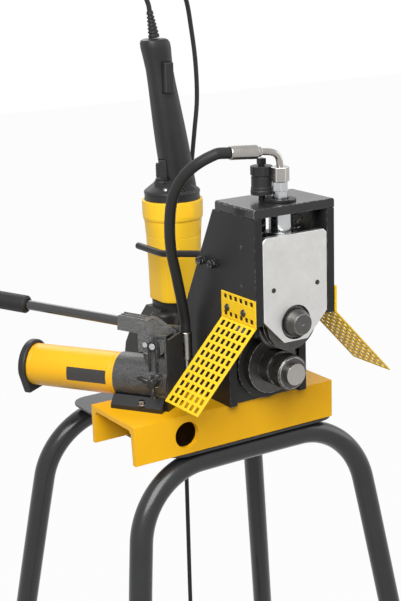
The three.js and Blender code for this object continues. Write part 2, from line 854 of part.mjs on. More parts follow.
function buildSlide() {
  const axisPlace = [0, 0, rollers.upperZ];
  const rodPlace = [0, rod.centreY, 0];
  const half = wallInner - gap;
  const toe = slide.plateToe / 2;
  const face = slab(slideOutline(plateBottom, toe), "xz", [0, slide.plateThick]);
  const faceHole = bar("y", plateHole, [-overrun, slide.plateThick + overrun], axisPlace);
  piece("slide_plate", brightSteel, cut(face, faceHole));

  const blockFront = slide.plateThick + gap;
  const upper = block([-half, half], [blockFront, slide.blockBack], [slide.blockBottom, slide.blockTop]);
  const cheekShape = slideOutline(slide.cheekBottom, toe);
  const cheek = slab(cheekShape, "xz", [slide.cheekFront, slide.blockBack]);
  const above = slide.plateTop + overrun;
  const trim = block([-head.width, head.width], [0, head.topDepth], [slide.blockTop, above]);
  const grooveDepth = guide.thick + running;
  const grooves = [-1, 1].map((way) =>
    block(
      [Math.min(way * half, way * (half - grooveDepth)) - (way < 0 ? overrun : 0),
        Math.max(way * half, way * (half - grooveDepth)) + (way > 0 ? overrun : 0)],
      [guide.centreY - guide.width / 2 - running, guide.centreY + guide.width / 2 + running],
      [slide.cheekBottom, above],
    ),
  );
  const bore = bar("z", rodBore, [slide.boreFloor, slide.blockTop + overrun], rodPlace);
  const pockets = [-1, 1].map((way) =>
    bar("z", spring.pocket, [spring.foot, slide.blockTop + overrun], [way * springX, spring.y, 0], small),
  );
  const spindleHole = bar(
    "z",
    spindle.radius + gap,
    [spindle.foot - gap, slide.blockTop + overrun],
    [spindle.x, spindle.y, 0],
    small,
  );
  const axleRun = [slide.cheekFront - overrun, slide.blockBack + overrun];
  const axleHole = bar("y", axleRadius + gap, axleRun, axisPlace);
  const body = cut(join(upper, cheek), trim, ...grooves, bore, ...pockets, spindleHole, axleHole);
  piece("pressure_slide", blackPaint, body);

  const glandBore = rodRadius + running;
  const glandOuter = rodBore - gap;
  const glandSeat = slide.blockTop + gap;
  const glandTop = glandSeat + gland.flangeThick;
  const glandProfile = [
    [glandBore, slide.glandBottom],
    [glandOuter, slide.glandBottom],
    [glandOuter, glandSeat],
    [(rodRadius + gland.flangeLip), glandSeat],
    [(rodRadius + gland.flangeLip), glandTop],
    [glandBore, glandTop],
    [glandBore, slide.glandBottom],
  ];
  piece("gland_nut", darkSteel, turned(glandProfile, "z", rodPlace));

  const stem = turned(
    [
      [0, rod.pistonBottom],
      [rodBore - running, rod.pistonBottom],
      [rodBore - running, rod.pistonTop],
      [rodRadius, rod.pistonTop],
      [rodRadius, topPlateBottom - gap],
      [0, topPlateBottom - gap],
    ],
    "z",
    rodPlace,
  );
  const oilWay = bar("z", rod.portRadius, [rod.pistonBottom - overrun, head.height], rodPlace, small);
  piece("piston_rod", chrome, cut(stem, oilWay));

  const front = [-axle.stick, 0];
  const faceRadius = axleRadius - axle.faceInset;
  const dome = [[0, front[0] + axle.dimpleDepth], [axle.dimple, front[0]], [faceRadius, front[0]]];
  for (let step = 1; step <= axle.domeSteps; step += 1) {
    const angle = (step / axle.domeSteps) * (Math.PI / 2);
    const radius = faceRadius + axle.faceInset * Math.sin(angle);
    dome.push([radius, front[0] + (axle.stick - running) * (1 - Math.cos(angle))]);
  }
  const axleBack = slide.blockBack - gap;
  dome.push([axleRadius, axleBack], [0, axleBack]);
  piece("upper_axle", darkSteel, turned(dome, "y", axisPlace));

  const { upperNose, grooveWidth, grooveRidge } = rollers;
  const upperRadius = wallInner - gap - guide.thick - rollers.upperClear;
  const upperNoseRadius = upperRadius - rollers.upperNoseStep;
  const rollerFront = blockFront + running;
  const rollerBack = slide.cheekFront - running;
  const middle = (rollerFront + rollerBack) / 2;
  const inner = axleRadius + running;
  const roll = [
    [inner, rollerFront],
    [upperNoseRadius, rollerFront],
    [upperNoseRadius, rollerFront + upperNose],
    [upperRadius - grooveRidge, rollerFront + upperNose],
    [upperRadius - grooveRidge, middle - grooveWidth / 2],
    [upperRadius, middle - grooveWidth / 2],
    [upperRadius, middle + grooveWidth / 2],
    [upperRadius - grooveRidge, middle + grooveWidth / 2],
    [upperRadius - grooveRidge, rollerBack],
    [inner, rollerBack],
    [inner, rollerFront],
  ];
  piece("upper_roller", darkSteel, turned(roll, "y", axisPlace));

  for (const [name, way] of [["left", -1], ["right", 1]]) {
    const stations = [];
    const steps = spring.curls * spring.curlSteps;
    const low = spring.foot + gap + spring.wire;
    const high = topPlateBottom - gap - spring.wire;
    for (let step = 0; step <= steps; step += 1) {
      const angle = (step / spring.curlSteps) * 2 * Math.PI;
      stations.push(
        new THREE.Vector3(
          way * springX + spring.radius * Math.cos(angle),
          spring.y + spring.radius * Math.sin(angle),
          low + ((high - low) * step) / steps,
        ),
      );
    }
    const clear = leastSelfGap(stations, spring.wire, spring.curlSteps / 2);
    console.log("return_spring_" + name + " least gap to itself", clear.toFixed(2), "mm");
    piece("return_spring_" + name, brightSteel, tube(stations, spring.wire, spring.sides));
  }
}

function buildTop() {
  const discBottom = head.height + gap;
  const centre = [0, rod.centreY, 0];
  const towardsKnob = Math.atan2(spindle.y - rod.centreY, spindle.x);
  const { bore: discBore, rim, thin, step, stepCount } = stepDisc;
  const span = (2 * Math.PI) / (stepCount + 1);
  const start = towardsKnob - span / 2;
  const discTop = discBottom + thin + step * stepCount;
  const blank = ring("z", discBore, rim, [discBottom, discTop], [0, 0, 0]);
  const lowered = [];
  for (let count = 1; count <= stepCount; count += 1) {
    const corners = [[0, 0]];
    for (let edge = count; edge <= stepCount + 1; edge += 1) {
      const angle = start + span * edge;
      corners.push([rim * 2 * Math.cos(angle), rim * 2 * Math.sin(angle)]);
    }
    lowered.push(slab(outline(corners), "xy", [discTop - step * count, discTop + overrun]));
  }
  const disc = cut(blank.rotate([0, 0, start / degrees]), ...lowered).translate(centre);
  piece("step_disc", blackPaint, disc);

  const screwed = turned(
    [
      [0, spindle.foot],
      [spindle.radius, spindle.foot],
      [spindle.radius, spindle.threadTop],
      [0, spindle.threadTop],
    ],
    "z",
    [spindle.x, spindle.y, 0],
    small,
  );
  const side = spindle.squareSide / 2;
  const square = block(
    [spindle.x - side, spindle.x + side],
    [spindle.y - side, spindle.y + side],
    [spindle.threadTop - overrun, spindle.squareTop],
  );
  piece("depth_spindle", blackPaint, join(screwed, square));

  const knobBottom = discBottom + thin + step * stepCount + knob.lift;
  const neckBottom = knob.bodyTop;
  const neckTop = neckBottom + knob.neckThick;
  const place = [spindle.x, spindle.y, 0];
  const body = turned(
    [
      [0, knobBottom],
      [knob.flangeRadius, knobBottom],
      [knob.flangeRadius, knobBottom + knob.flangeThick],
      [knob.bodyRadius, knobBottom + knob.flangeThick],
      [knob.bodyRadius, neckBottom],
      [knob.neckRadius, neckBottom],
      [knob.neckRadius, neckTop],
      [0, neckTop],
    ],
    "z",
    place,
  );
  const toothed = [];
  for (let half = 0; half < knob.teeth * 2; half += 1) {
    const radius = knob.ringRadius - (half % 2) * knob.toothDepth;
    const angle = (half / (knob.teeth * 2)) * 2 * Math.PI;
    toothed.push([radius * Math.cos(angle), radius * Math.sin(angle)]);
  }
  const ringRun = [neckTop - knob.neckThick / 2, knob.ringTop];
  const knurled = slab(outline(toothed), "xy", ringRun).translate(place);
  const bore = bar("z", spindle.radius + gap, [knobBottom - overrun, knob.ringTop + overrun], place, small);
  piece("depth_knob", blackPlastic, cut(join(body, knurled), bore));

  const way = [topPlateBottom - overrun, nut.top + overrun];
  const barrel = bar("z", adapter.barrelRadius, [topPlateBottom, adapter.barrelTop], centre);
  const hexRun = [adapter.barrelTop - overrun, adapter.hexTop];
  const hex = slab(polygon(hexSides, adapter.hexRadius), "xy", hexRun);
  const oil = bar("z", adapter.boreRadius, way, centre, small);
  piece("port_adapter", chrome, cut(join(barrel, hex.translate(centre)), oil));
  const flats = polygon(hexSides, nut.radius, Math.PI / hexSides);
  const union = slab(flats, "xy", [nut.bottom, nut.top]).translate(centre);
  piece("hose_nut", brightSteel, cut(union, bar("z", elbow.radius + gap, way, centre, small)));
}

const pumpTurn = pump.turnDegrees * degrees;
const pumpX = -head.width / 2 - pump.clear;

// A place in the machine for one given along, across and above the pump.
function fromPump(s, w, z) {
  return new THREE.Vector3(
    pumpX + s * Math.cos(pumpTurn) - w * Math.sin(pumpTurn),
    pump.y + s * Math.sin(pumpTurn) + w * Math.cos(pumpTurn),
    z,
  );
}

function buildHose() {
  const start = point(upperFerrule.start);
  const aim = point(upperFerrule.aim).normalize();
  const base = new THREE.Vector3(0, rod.centreY, nut.bottom + gap);
  const rise = new THREE.Vector3(0, rod.centreY, nut.top);
  const bend = new THREE.Vector3(0, rod.centreY, elbow.top);
  const bendEnd = start.clone().addScaledVector(aim, -elbow.collar);
  const sweep = new THREE.CubicBezierCurve3(
    rise,
    rise.clone().lerp(bend, elbow.riseShare),
    bendEnd.clone().addScaledVector(aim, -rise.distanceTo(bend)),
    bendEnd,
  );
  const bendStations = [base, ...sweep.getSpacedPoints(elbow.steps)];
  const tubeEnd = start.clone().addScaledVector(aim, -gap);
  const bentTube = tube([...bendStations, tubeEnd], elbow.radius, elbow.sides);
  const collarEnds = [bendEnd, tubeEnd];
  piece("hose_elbow", brightSteel, join(bentTube, tube(collarEnds, elbow.collarRadius, elbow.sides)));

  const sleeve = (from, direction, length) => {
    const groove = ferrule.groove;
    const profile = [
      [0, 0],
      [ferrule.waist, 0],
      [ferrule.radius, groove],
      [ferrule.radius, length - groove * 2],
      [ferrule.waist, length - groove],
      [ferrule.waist, length],
      [0, length],
    ];
    const turnTo = new THREE.Quaternion().setFromUnitVectors(new THREE.Vector3(0, 1, 0), direction);
    const shape = new THREE.LatheGeometry(profile.map(([x, y]) => new THREE.Vector2(x, y)), medium);
    shape.applyQuaternion(turnTo).translate(from.x, from.y, from.z);
    const made = solid(shape);
    return made.volume() < 0 ? solid(flipped(shape)) : made;
  };
  piece("hose_ferrule_top", brightSteel, sleeve(start, aim, ferrule.upperLength));
  const up = new THREE.Vector3(0, 0, 1);
  const foot = fromPump(pump.portS, -outlet.w, outlet.riserTop + gap);
  piece("hose_ferrule_bottom", brightSteel, sleeve(foot, up, ferrule.lowerLength));

  const from = start.clone().addScaledVector(aim, ferrule.upperLength + gap);
  const to = foot.clone().addScaledVector(up, ferrule.lowerLength + gap);
  const free = new THREE.CatmullRomCurve3([
    from.clone().addScaledVector(aim, hose.lead),
    ...hosePath.map(point),
    to.clone().addScaledVector(up, hose.lead),
  ]);
  const stations = [from, ...free.getSpacedPoints(hose.steps), to];
  piece("hydraulic_hose", blackRubber, tube(stations, hose.radius, hose.sides));
}

function buildGuards() {
  const { thick, front, depth, tabTop, bend, reach, drop, pitch, columns, rows } = guard;
  const { slotLong, slotWide } = guard;
  const fall = Math.atan2(drop, reach) / degrees;
  const length = Math.hypot(reach, drop);
  const through = [-overrun, thick + overrun];
  const opening = (y, z, wide, tall) =>
    block(through, [y - wide / 2, y + wide / 2], [z - tall / 2, z + tall / 2]);
  const columnAt = (column) => depth / 2 + (column - (columns - 1) / 2) * pitch;
  const tabHeight = tabTop - bend;
  const tabHoles = [];
  const slots = [];
  for (let column = 0; column < columns; column += 1) {
    for (let row = 0; row < rows; row += 1) {
      const down = length / 2 + (row - (rows - 1) / 2) * pitch;
      slots.push(opening(columnAt(column), down, slotWide, slotLong));
    }
  }
  const wall = head.width / 2 + gap;
  for (let step = 0; step < 2; step += 1) {
    const y = guard.screwY - front + step * guard.screwSpan;
    tabHoles.push(bar("x", guard.screwRadius, through, [0, y, guard.screwZ - bend], small));
  }
  const tab = cut(block([0, thick], [0, depth], [0, tabHeight]), ...tabHoles);
  const slope = cut(block([0, thick], [0, depth], [0, length]), ...slots);
  const corner = [wall + thick, front, bend];
  const seam = bar("y", thick, [0, depth], corner, small);
  const outside = block([wall, wall + thick], [front, front + depth], [bend - thick, bend + thick]);
  const sheet = join(
    tab.translate([wall, front, bend]),
    slope.rotate([0, fall + quarterTurn / degrees, 0]).translate(corner),
    seam.intersect(outside),
  );
  piece("guard_right", yellowPaint, sheet);
  piece("guard_left", yellowPaint, sheet.mirror([1, 0, 0]));
}

function buildFork() {
  const wide = wallInner - gap;
  const lower = fork.z - fork.barThick / 2;
  const plate = block([-wide, wide], [fork.barFront, fork.barBack], [lower, lower + fork.barThick]);
  const elbowX = wide - fork.elbowInset;
  const prongX = drive.upperRadius + fork.prongClear;
  const prongs = [-1, 1].map((way) => {
    const corners = [
      new THREE.Vector3(way * elbowX, fork.barBack - fork.rodRadius * 2, fork.z),
      new THREE.Vector3(way * elbowX, fork.elbowY, fork.z),
      new THREE.Vector3(way * prongX, fork.prongY, fork.endZ),
      new THREE.Vector3(way * prongX, fork.prongEnd, fork.endZ),
    ];
    return tube(bentRoute(corners, fork.bendRadius, fork.bendSteps), fork.rodRadius, fork.sides);
  });
  piece("torque_fork", blackPaint, join(plate, ...prongs));
}

function buildPump() {
  const group = new THREE.Group();
  group.position.set(pumpX, pump.y, 0);
  group.rotation.z = pumpTurn;
  machine.add(group);
  const pumpPiece = (name, material, body) => piece(name, material, body, group);
  const halfBase = pump.baseWidth / 2;
  const halfFlare = pump.flareWidth / 2;
  const axis = [0, 0, pump.axisZ];

  const footShape = outline([
    [-halfBase, gap],
    [halfBase, gap],
    [halfBase, pump.baseThick],
    [halfFlare, pump.flareTop],
    [-halfFlare, pump.flareTop],
    [-halfBase, pump.baseThick],
  ]);
  const foot = slab(footShape, "yz", [pump.baseRight, pump.bodyLeft]);
  const barrel = bar("x", pump.bodyRadius, [pump.bodyRight, pump.bodyLeft], axis);
  const spigot = bar("x", pump.spigotRadius, [0, pump.bodyLeft + pump.spigotLength], axis);
  const boss = bar("z", pump.bossRadius, [pump.axisZ, pump.bossTop], [pump.pistonPinS, 0, 0]);
  const outside = pump.earInner + pump.earThick;
  const columnRun = [pump.columnRight, pump.columnLeft];
  const column = block(columnRun, [-outside, outside], [gap, pump.columnTop]);
  const webRun = [pump.columnRight, pump.columnRight + pump.webThick];
  const web = block(webRun, [-outside, outside], [pump.axisZ, pump.webTop]);
  const ears = [-1, 1].map((way) => {
    const across = [way * pump.earInner, way * outside].sort((a, b) => a - b);
    const legRun = [pump.fulcrumS - pump.earHalf, pump.fulcrumS + pump.earHalf];
    const leg = block(legRun, across, [pump.axisZ, pump.pinZ]);
    const round = bar("y", pump.earRound, across, [pump.fulcrumS, 0, pump.pinZ], small);
    const post = block(webRun, across, [pump.axisZ, pump.bracketTop]);
    const barRun = [pump.columnRight, pump.bracketLeft];
    const top = block(barRun, across, [pump.bracketTop - pump.bracketBar, pump.bracketTop]);
    return join(leg, round, post, top);
  });
  const reachAll = [-pump.baseWidth, pump.baseWidth];
  const pinHole = bar("y", pump.pinRadius + gap, reachAll, [pump.fulcrumS, 0, pump.pinZ], small);
  const pistonWay = [pump.pistonFoot - pump.pistonRoom, pump.bossTop + overrun];
  const pistonBore = bar("z", pump.pistonRadius + gap, pistonWay, [pump.pistonPinS, 0, 0], medium);
  const stemWay = [valve.seat - valve.stemDepth - gap, pump.baseWidth];
  const valveBore = bar("y", valve.stemRadius + gap, stemWay, [valve.s, 0, valve.z], small);
  const valveBoss = bar("y", valve.bossRadius, [0, valve.seat - gap], [valve.s, 0, valve.z], small);
  const portWay = [-pump.baseWidth, -pump.bodyRadius / 2];
  const portBore = bar("y", pump.portRadius + gap, portWay, [pump.portS, 0, pump.portZ], small);
  const casting = cut(
    join(foot, barrel, spigot, boss, column, web, valveBoss, ...ears),
    pinHole,
    pistonBore,
    valveBore,
    portBore,
  );
  pumpPiece("pump_block", blackCasting, casting);

  const tankRun = [pump.bodyLeft + gap, tank.end];
  pumpPiece("pump_tank", yellowPaint, ring("x", tank.radius - tank.wall, tank.radius, tankRun, axis));
  const capShape = new THREE.Shape();
  const hip = cap.hipDegrees * degrees;
  capShape.moveTo(cap.footHalf, gap - pump.axisZ);
  capShape.absarc(0, 0, cap.radius, -hip, Math.PI + hip);
  capShape.lineTo(-cap.footHalf, gap - pump.axisZ);
  const capOutline = new THREE.Shape(withoutRepeats(capShape.getPoints(cap.steps)));
  const lid = slab(capOutline, "yz", [cap.front, cap.back]).translate(axis);
  const recess = bar("x", tank.radius + gap, [cap.front - overrun, tank.end + gap], axis);
  pumpPiece("pump_cap", blackPlastic, cut(lid, recess));

  const yokeRadius = pump.fulcrumS - pump.columnRight - pump.webThick - running;
  const heel = [];
  for (let step = 0; step <= yoke.roundSteps; step += 1) {
    const angle = yoke.crownDegrees + ((yoke.heelDegrees - yoke.crownDegrees) * step) / yoke.roundSteps;
    heel.push([
      pump.fulcrumS + yokeRadius * Math.cos(angle * degrees),
      pump.pinZ + yokeRadius * Math.sin(angle * degrees),
    ]);
  }
  const cheekShape = outline([
    [yoke.left, yoke.bottom],
    [yoke.left, yoke.noseFront],
    [yoke.left - yoke.noseInset, yoke.noseTop],
    ...yoke.crown,
    ...heel,
  ]);
  const outerCheek = yoke.cheekInner + yoke.cheekThick;
  const hood = slab(cheekShape, "xz", [-outerCheek, outerCheek]);
  const hollow = block(
    [pump.fulcrumS - yokeRadius - overrun, yoke.left + overrun],
    [-yoke.cheekInner, yoke.cheekInner],
    [pump.pinZ - yokeRadius - overrun, yoke.ceiling],
  );
  const onLever = (body) => body.rotate([0, -lever.tiltDegrees, 0]).translate([0, 0, lever.socketZ]);
  const socketTurn = Math.PI / yoke.socketSides;
  const socket = onLever(slab(polygon(yoke.socketSides, yoke.socketRadius, socketTurn), "yz", [
    yoke.left - yoke.socketRoot,
    yoke.socketLeft,
  ]));
  const socketRun = [lever.start - gap, yoke.socketLeft + overrun];
  const socketBore = onLever(bar("x", lever.radius + gap, socketRun, [0, 0, 0], medium));
  const cheekHoles = [pump.fulcrumS, pump.pistonPinS].map((s) =>
    bar("y", pump.pinRadius + gap, reachAll, [s, 0, pump.pinZ], small),
  );
  pumpPiece("pump_yoke", blackCasting, cut(join(cut(hood, hollow), socket), socketBore, ...cheekHoles));
  const stick = onLever(bar("x", lever.radius, [lever.start, lever.end], [0, 0, 0], medium));
  pumpPiece("lever_tube", blackPaint, stick);
  const { gripStart, gripEnd, gripRadius, gripEdge } = lever;
  const gripBody = turned(
    [
      [0, gripStart],
      [gripRadius - gripEdge, gripStart],
      [gripRadius, gripStart + gripEdge],
      [gripRadius, gripEnd - gripEdge * 2],
      [gripRadius - gripEdge * 2, gripEnd],
      [0, gripEnd],
    ],
    "x",
    [0, 0, 0],
    medium,
  );
  const boreRun = [gripStart - overrun, lever.end + gap];
  const gripBore = bar("x", lever.radius + gap, boreRun, [0, 0, 0], medium);
  pumpPiece("lever_grip", blackRubber, onLever(cut(gripBody, gripBore)));

  const pin = (s, reach) => bar("y", pump.pinRadius, [-reach, reach], [s, 0, pump.pinZ], small);
  pumpPiece("fulcrum_pin", chrome, pin(pump.fulcrumS, pump.pinReach));
  pumpPiece("piston_pin", chrome, pin(pump.pistonPinS, pump.pistonPinReach));
  const eye = block(
    [pump.eyeRight, pump.eyeLeft],
    [-pump.eyeHalfWidth, pump.eyeHalfWidth],
    [pump.eyeBottom, pump.eyeTop],
  );
  const slot = block([pump.slotRight, pump.slotLeft], reachAll, [
    pump.pinZ - pump.slotHalf,
    pump.pinZ + pump.slotHalf,
  ]);
  const plungerRun = [pump.pistonFoot, pump.eyeBottom + overrun];
  const plunger = bar("z", pump.pistonRadius, plungerRun, [pump.pistonPinS, 0, 0], medium);
  pumpPiece("pump_piston", brightSteel, cut(join(plunger, eye), slot));

  const hubRun = [valve.seat, valve.seat + valve.hubLength];
  const valveCentre = [valve.s, 0, valve.z];
  const hub = bar("y", valve.hubRadius, hubRun, valveCentre, small);
  const stemRun = [valve.seat - valve.stemDepth, hubRun[0] + overrun];
  const stem = bar("y", valve.stemRadius, stemRun, valveCentre, small);
  const lobes = [];
  for (let lobe = 0; lobe < valve.lobes; lobe += 1) {
    const angle = (lobe / valve.lobes) * 2 * Math.PI + valve.lobeTurnDegrees * degrees;
    const arm = new THREE.Shape();
    arm.moveTo(0, -valve.lobeRadius);
    arm.absarc(valve.lobeReach - valve.lobeRadius, 0, valve.lobeRadius, -Math.PI / 2, Math.PI / 2);
    arm.lineTo(0, valve.lobeRadius);
    const wing = slab(new THREE.Shape(withoutRepeats(arm.getPoints(arcSteps))), "xz", [
      hubRun[1] - valve.lobeThick,
      hubRun[1],
    ]);
    lobes.push(wing.rotate([0, angle / degrees, 0]).translate(valveCentre));
  }
  pumpPiece("release_valve", darkSteel, join(hub, stem, ...lobes));

  const { hexRadius, hexEnd, blockRadius, blockDrop, riserRadius, riserTop } = outlet;
  const port = [pump.portS, 0, pump.portZ];
  const nipple = bar("y", pump.portRadius, [-hexEnd, -pump.bodyRadius / 2 - running], port, small);
  const hex = slab(polygon(hexSides, hexRadius), "xz", [-hexEnd, -pump.bodyRadius - gap]).translate(port);
  const knee = bar("z", blockRadius, [pump.portZ - blockDrop, pump.portZ + blockDrop], [
    pump.portS,
    -outlet.w,
    0,
  ], medium);
  const link = bar("y", riserRadius, [-outlet.w, -hexEnd + overrun], port, small);
  const riser = bar("z", riserRadius, [pump.portZ, riserTop], [pump.portS, -outlet.w, 0], small);
  pumpPiece("outlet_elbow", brightSteel, join(nipple, hex, knee, link, riser));
}

function buildDrive() {
  const middle = [0, drive.y, 0];
  const upper = turned(
    [
      [0, drive.waistBottom],
      [drive.upperRadius - gap * 2, drive.waistBottom],
      [drive.upperRadius, drive.collarBottom],
      [drive.collarRadius, drive.collarBottom + overrun],
      [drive.collarRadius, drive.housingTop],
      [0, drive.housingTop],
    ],
    "z",
    middle,
  );
  const lowerShape = roundedRectangle(drive.lowerHalf, drive.lowerHalf, drive.lowerCorner);
  const lowerRun = [drive.bottom, drive.waistBottom + overrun];
  const lower = slab(lowerShape, "xy", lowerRun).translate(middle);
  const cavityRun = [drive.bottom - overrun, drive.cavityTop];
  const cavity = bar("z", drive.cavityRadius, cavityRun, middle, medium);
  const shaftRun = [drive.bottom, drive.housingTop];
  const shaftHole = bar("z", armature.shaftRadius + running, shaftRun, middle, small);
  const breather = bar("z", armature.shaftRadius, [drive.cavityTop - overrun, drive.housingTop + overrun], [
    drive.cavityRadius / 2,
    drive.y,
    0,
  ], small / 2);
  piece("motor_housing", yellowPaint, cut(join(upper, lower), cavity, shaftHole, breather));

  const front = drive.y - gearbox.depth / 2;
  const back = drive.y + gearbox.depth / 2;
  const loop = (inset) => {
    const shape = new THREE.Shape();
    const halfWidth = gearbox.rimHalf - inset;
    const start = new THREE.Vector2(halfWidth, gearbox.rimCentre);
    shape.moveTo(start.x, start.y);
    shape.absellipse(0, gearbox.rimCentre, halfWidth, gearbox.rimUp - inset, 0, Math.PI);
    shape.absellipse(0, gearbox.rimCentre, halfWidth, gearbox.rimDown - inset, Math.PI, 2 * Math.PI);
    return new THREE.Shape(withoutRepeats(shape.getPoints(small / 2)));
  };
  const rim = cut(
    slab(loop(0), "xz", [front, back]),
    slab(loop(gearbox.rimWall), "xz", [front - overrun, back + overrun]),
  );
  const shaftPlace = [0, 0, rollers.lowerZ];
  const gearCase = bar("y", gearbox.caseRadius, [front, back], shaftPlace);
  const neck = bar("z", gearbox.neckRadius, [gearbox.neckBottom, gearbox.neckTop], middle);
  const shoulders = slab(
    outline([
      [-gearbox.rimHalf + gearbox.rimWall, rollers.lowerZ],
      [gearbox.rimHalf - gearbox.rimWall, rollers.lowerZ],
      [gearbox.shoulderHalf, gearbox.neckTop - gearbox.webHalf],
      [-gearbox.shoulderHalf, gearbox.neckTop - gearbox.webHalf],
    ]),
    "xz",
    [front, back],
  );
  const webFoot = gearbox.rimCentre - gearbox.rimDown + gearbox.rimWall / 2;
  const webDepth = [front + gearbox.webHalf, back - gearbox.webHalf];
  const web = block([-gearbox.webHalf, gearbox.webHalf], webDepth, [webFoot, rollers.lowerZ]);
  const post = turned(
    [
      [0, gearbox.postBottom],
      [gearbox.postRadius, gearbox.postBottom],
      [gearbox.postRadius, gearbox.postTop - gearbox.webHalf / 2],
      [gearbox.postRadius - gearbox.webHalf / 2, gearbox.postTop],
      [0, gearbox.postTop],
    ],
    "z",
    [gearbox.postX, gearbox.postY, 0],
    medium,
  );
  const gearRoom = [drive.y - gear.hubWidth / 2 - running, back + overrun];
  const room = bar("y", gearbox.cavityRadius, gearRoom, shaftPlace);
  const postFront = gearbox.postY - gearbox.postRadius;
  const shaftWay = bar("y", shaft.driveRadius + running * 2, [postFront - overrun, back], shaftPlace);
  const pinionRun = [rollers.lowerZ, gearbox.neckTop + overrun];
  const pinionWay = bar("z", armature.pinionRadius + running * 2, pinionRun, middle, small);
  const casting = join(rim, gearCase, neck, shoulders, web, post);
  piece("gear_housing", blackCasting, cut(casting, room, shaftWay, pinionWay));

  const gearRun = [drive.y - gear.width / 2, drive.y + gear.width / 2];
  const hubRun = [drive.y - gear.hubWidth / 2, drive.y + gear.hubWidth / 2];
  const wheel = bar("y", gear.radius, gearRun, shaftPlace);
  const hub = bar("y", gear.hubRadius, hubRun, shaftPlace);
  const socket = slab(polygon(shaft.driveSides, shaft.driveRadius + gap * 2), "xz", [
    hubRun[0] - overrun,
    hubRun[1] + overrun,
  ]).translate(shaftPlace);
  piece("output_gear", bronze, cut(join(wheel, hub), socket));

  const spin = armature;
  const rotor = turned(
    [
      [0, spin.pinionBottom],
      [spin.pinionRadius, spin.pinionBottom],
      [spin.pinionRadius, spin.pinionTop],
      [spin.shaftRadius, spin.pinionTop],
      [spin.shaftRadius, spin.fanBottom],
      [spin.fanRadius, spin.fanBottom],
      [spin.fanRadius, spin.fanTop],
      [spin.shaftRadius, spin.fanTop],
      [spin.shaftRadius, spin.coreBottom],
      [spin.coreRadius, spin.coreBottom],
      [spin.coreRadius, spin.coreTop],
      [spin.shaftRadius, spin.coreTop],
      [spin.shaftRadius, spin.shaftTop],
      [0, spin.shaftTop],
    ],
    "z",
    middle,
    small,
  );
  piece("armature", brightSteel, rotor);
  buildHandle(middle);
}

// The handle leans from the motor's axis by this much at a height.
const leanAt = (z) => handle.leanOffset - Math.max(z - handle.leanStart, 0) * handle.lean;

function buildHandle() {
  const { bottom, capTop, capRadius } = handle;
  const dome = turned(
    [
      [0, bottom],
      [capRadius, bottom],
      [capRadius, bottom + handle.capSkirt],
      [handle.capNeck, capTop],
      [0, capTop],
    ],
    "z",
    [0, drive.y, 0],
  );
  const profile = [
    [0, handle.foot],
    [handle.lowRadius, handle.foot],
    [handle.lowRadius, handle.lowZ],
    [handle.midRadius, handle.midZ],
    [handle.gripRadius, handle.gripZ],
    [handle.endRadius, handle.endZ],
    [handle.endRadius - handle.endEdge, handle.top],
    [0, handle.top],
  ];
  const grip = new THREE.LatheGeometry(
    profile.map(([radius, z]) => new THREE.Vector2(radius, z)),
    medium,
  );
  grip.rotateX(Math.PI / 2);
  const place = grip.attributes.position;
  for (let corner = 0; corner < place.count; corner += 1) {
    const z = place.getZ(corner);
    place.setX(corner, place.getX(corner) + leanAt(z));
    place.setY(corner, place.getY(corner) * handle.depthShare + drive.y);
  }
  let stick = solid(grip);
  if (stick.volume() < 0) stick = solid(flipped(grip));
  const { bottom: low, top: high, width, reach, depth, travel } = trigger;
  const x = leanAt((low + high) / 2);
  const face = drive.y - handle.midRadius * handle.depthShare;
  const pocket = block(
    [x - width / 2 - running, x + width / 2 + running],
    [face - reach * 2, face + depth + travel],
    [low - running, high + running],
  );
  const dialRun = [capTop, dial.top + running];
  const dialRoom = bar("z", dial.skirt + running, dialRun, [dial.x, dial.y, 0], small);
  const dialSeat = bar("z", dial.seat, [handle.foot, capTop], [dial.x, dial.y, 0], small);
  const sleeveStart = new THREE.Vector3(leanAt(handle.top), drive.y, handle.top);
  const seatBore = bar("z", cord.radius + gap, [handle.top - cord.sleeveRadius, handle.top + overrun], [
    sleeveStart.x,
    drive.y,
    0,
  ], small);
  piece("handle_shell", blackPlastic, cut(join(dome, stick, dialSeat), pocket, dialRoom, seatBore));
  const paddle = block(
    [x - width / 2, x + width / 2],
    [face - reach, face + depth - running],
    [low, high],
  );
  piece("trigger", blackPlastic, paddle);
  const skirtBottom = capTop + gap;
  const turnKnob = turned(
    [
      [0, skirtBottom],
      [dial.skirt, skirtBottom],
      [dial.skirt, skirtBottom + dial.skirtThick],
      [dial.radius, skirtBottom + dial.skirtThick],
      [dial.radius, dial.top],
      [0, dial.top],
    ],
    "z",
    [dial.x, dial.y, 0],
    small,
  );
  piece("direction_switch", blackPlastic, turnKnob);
}

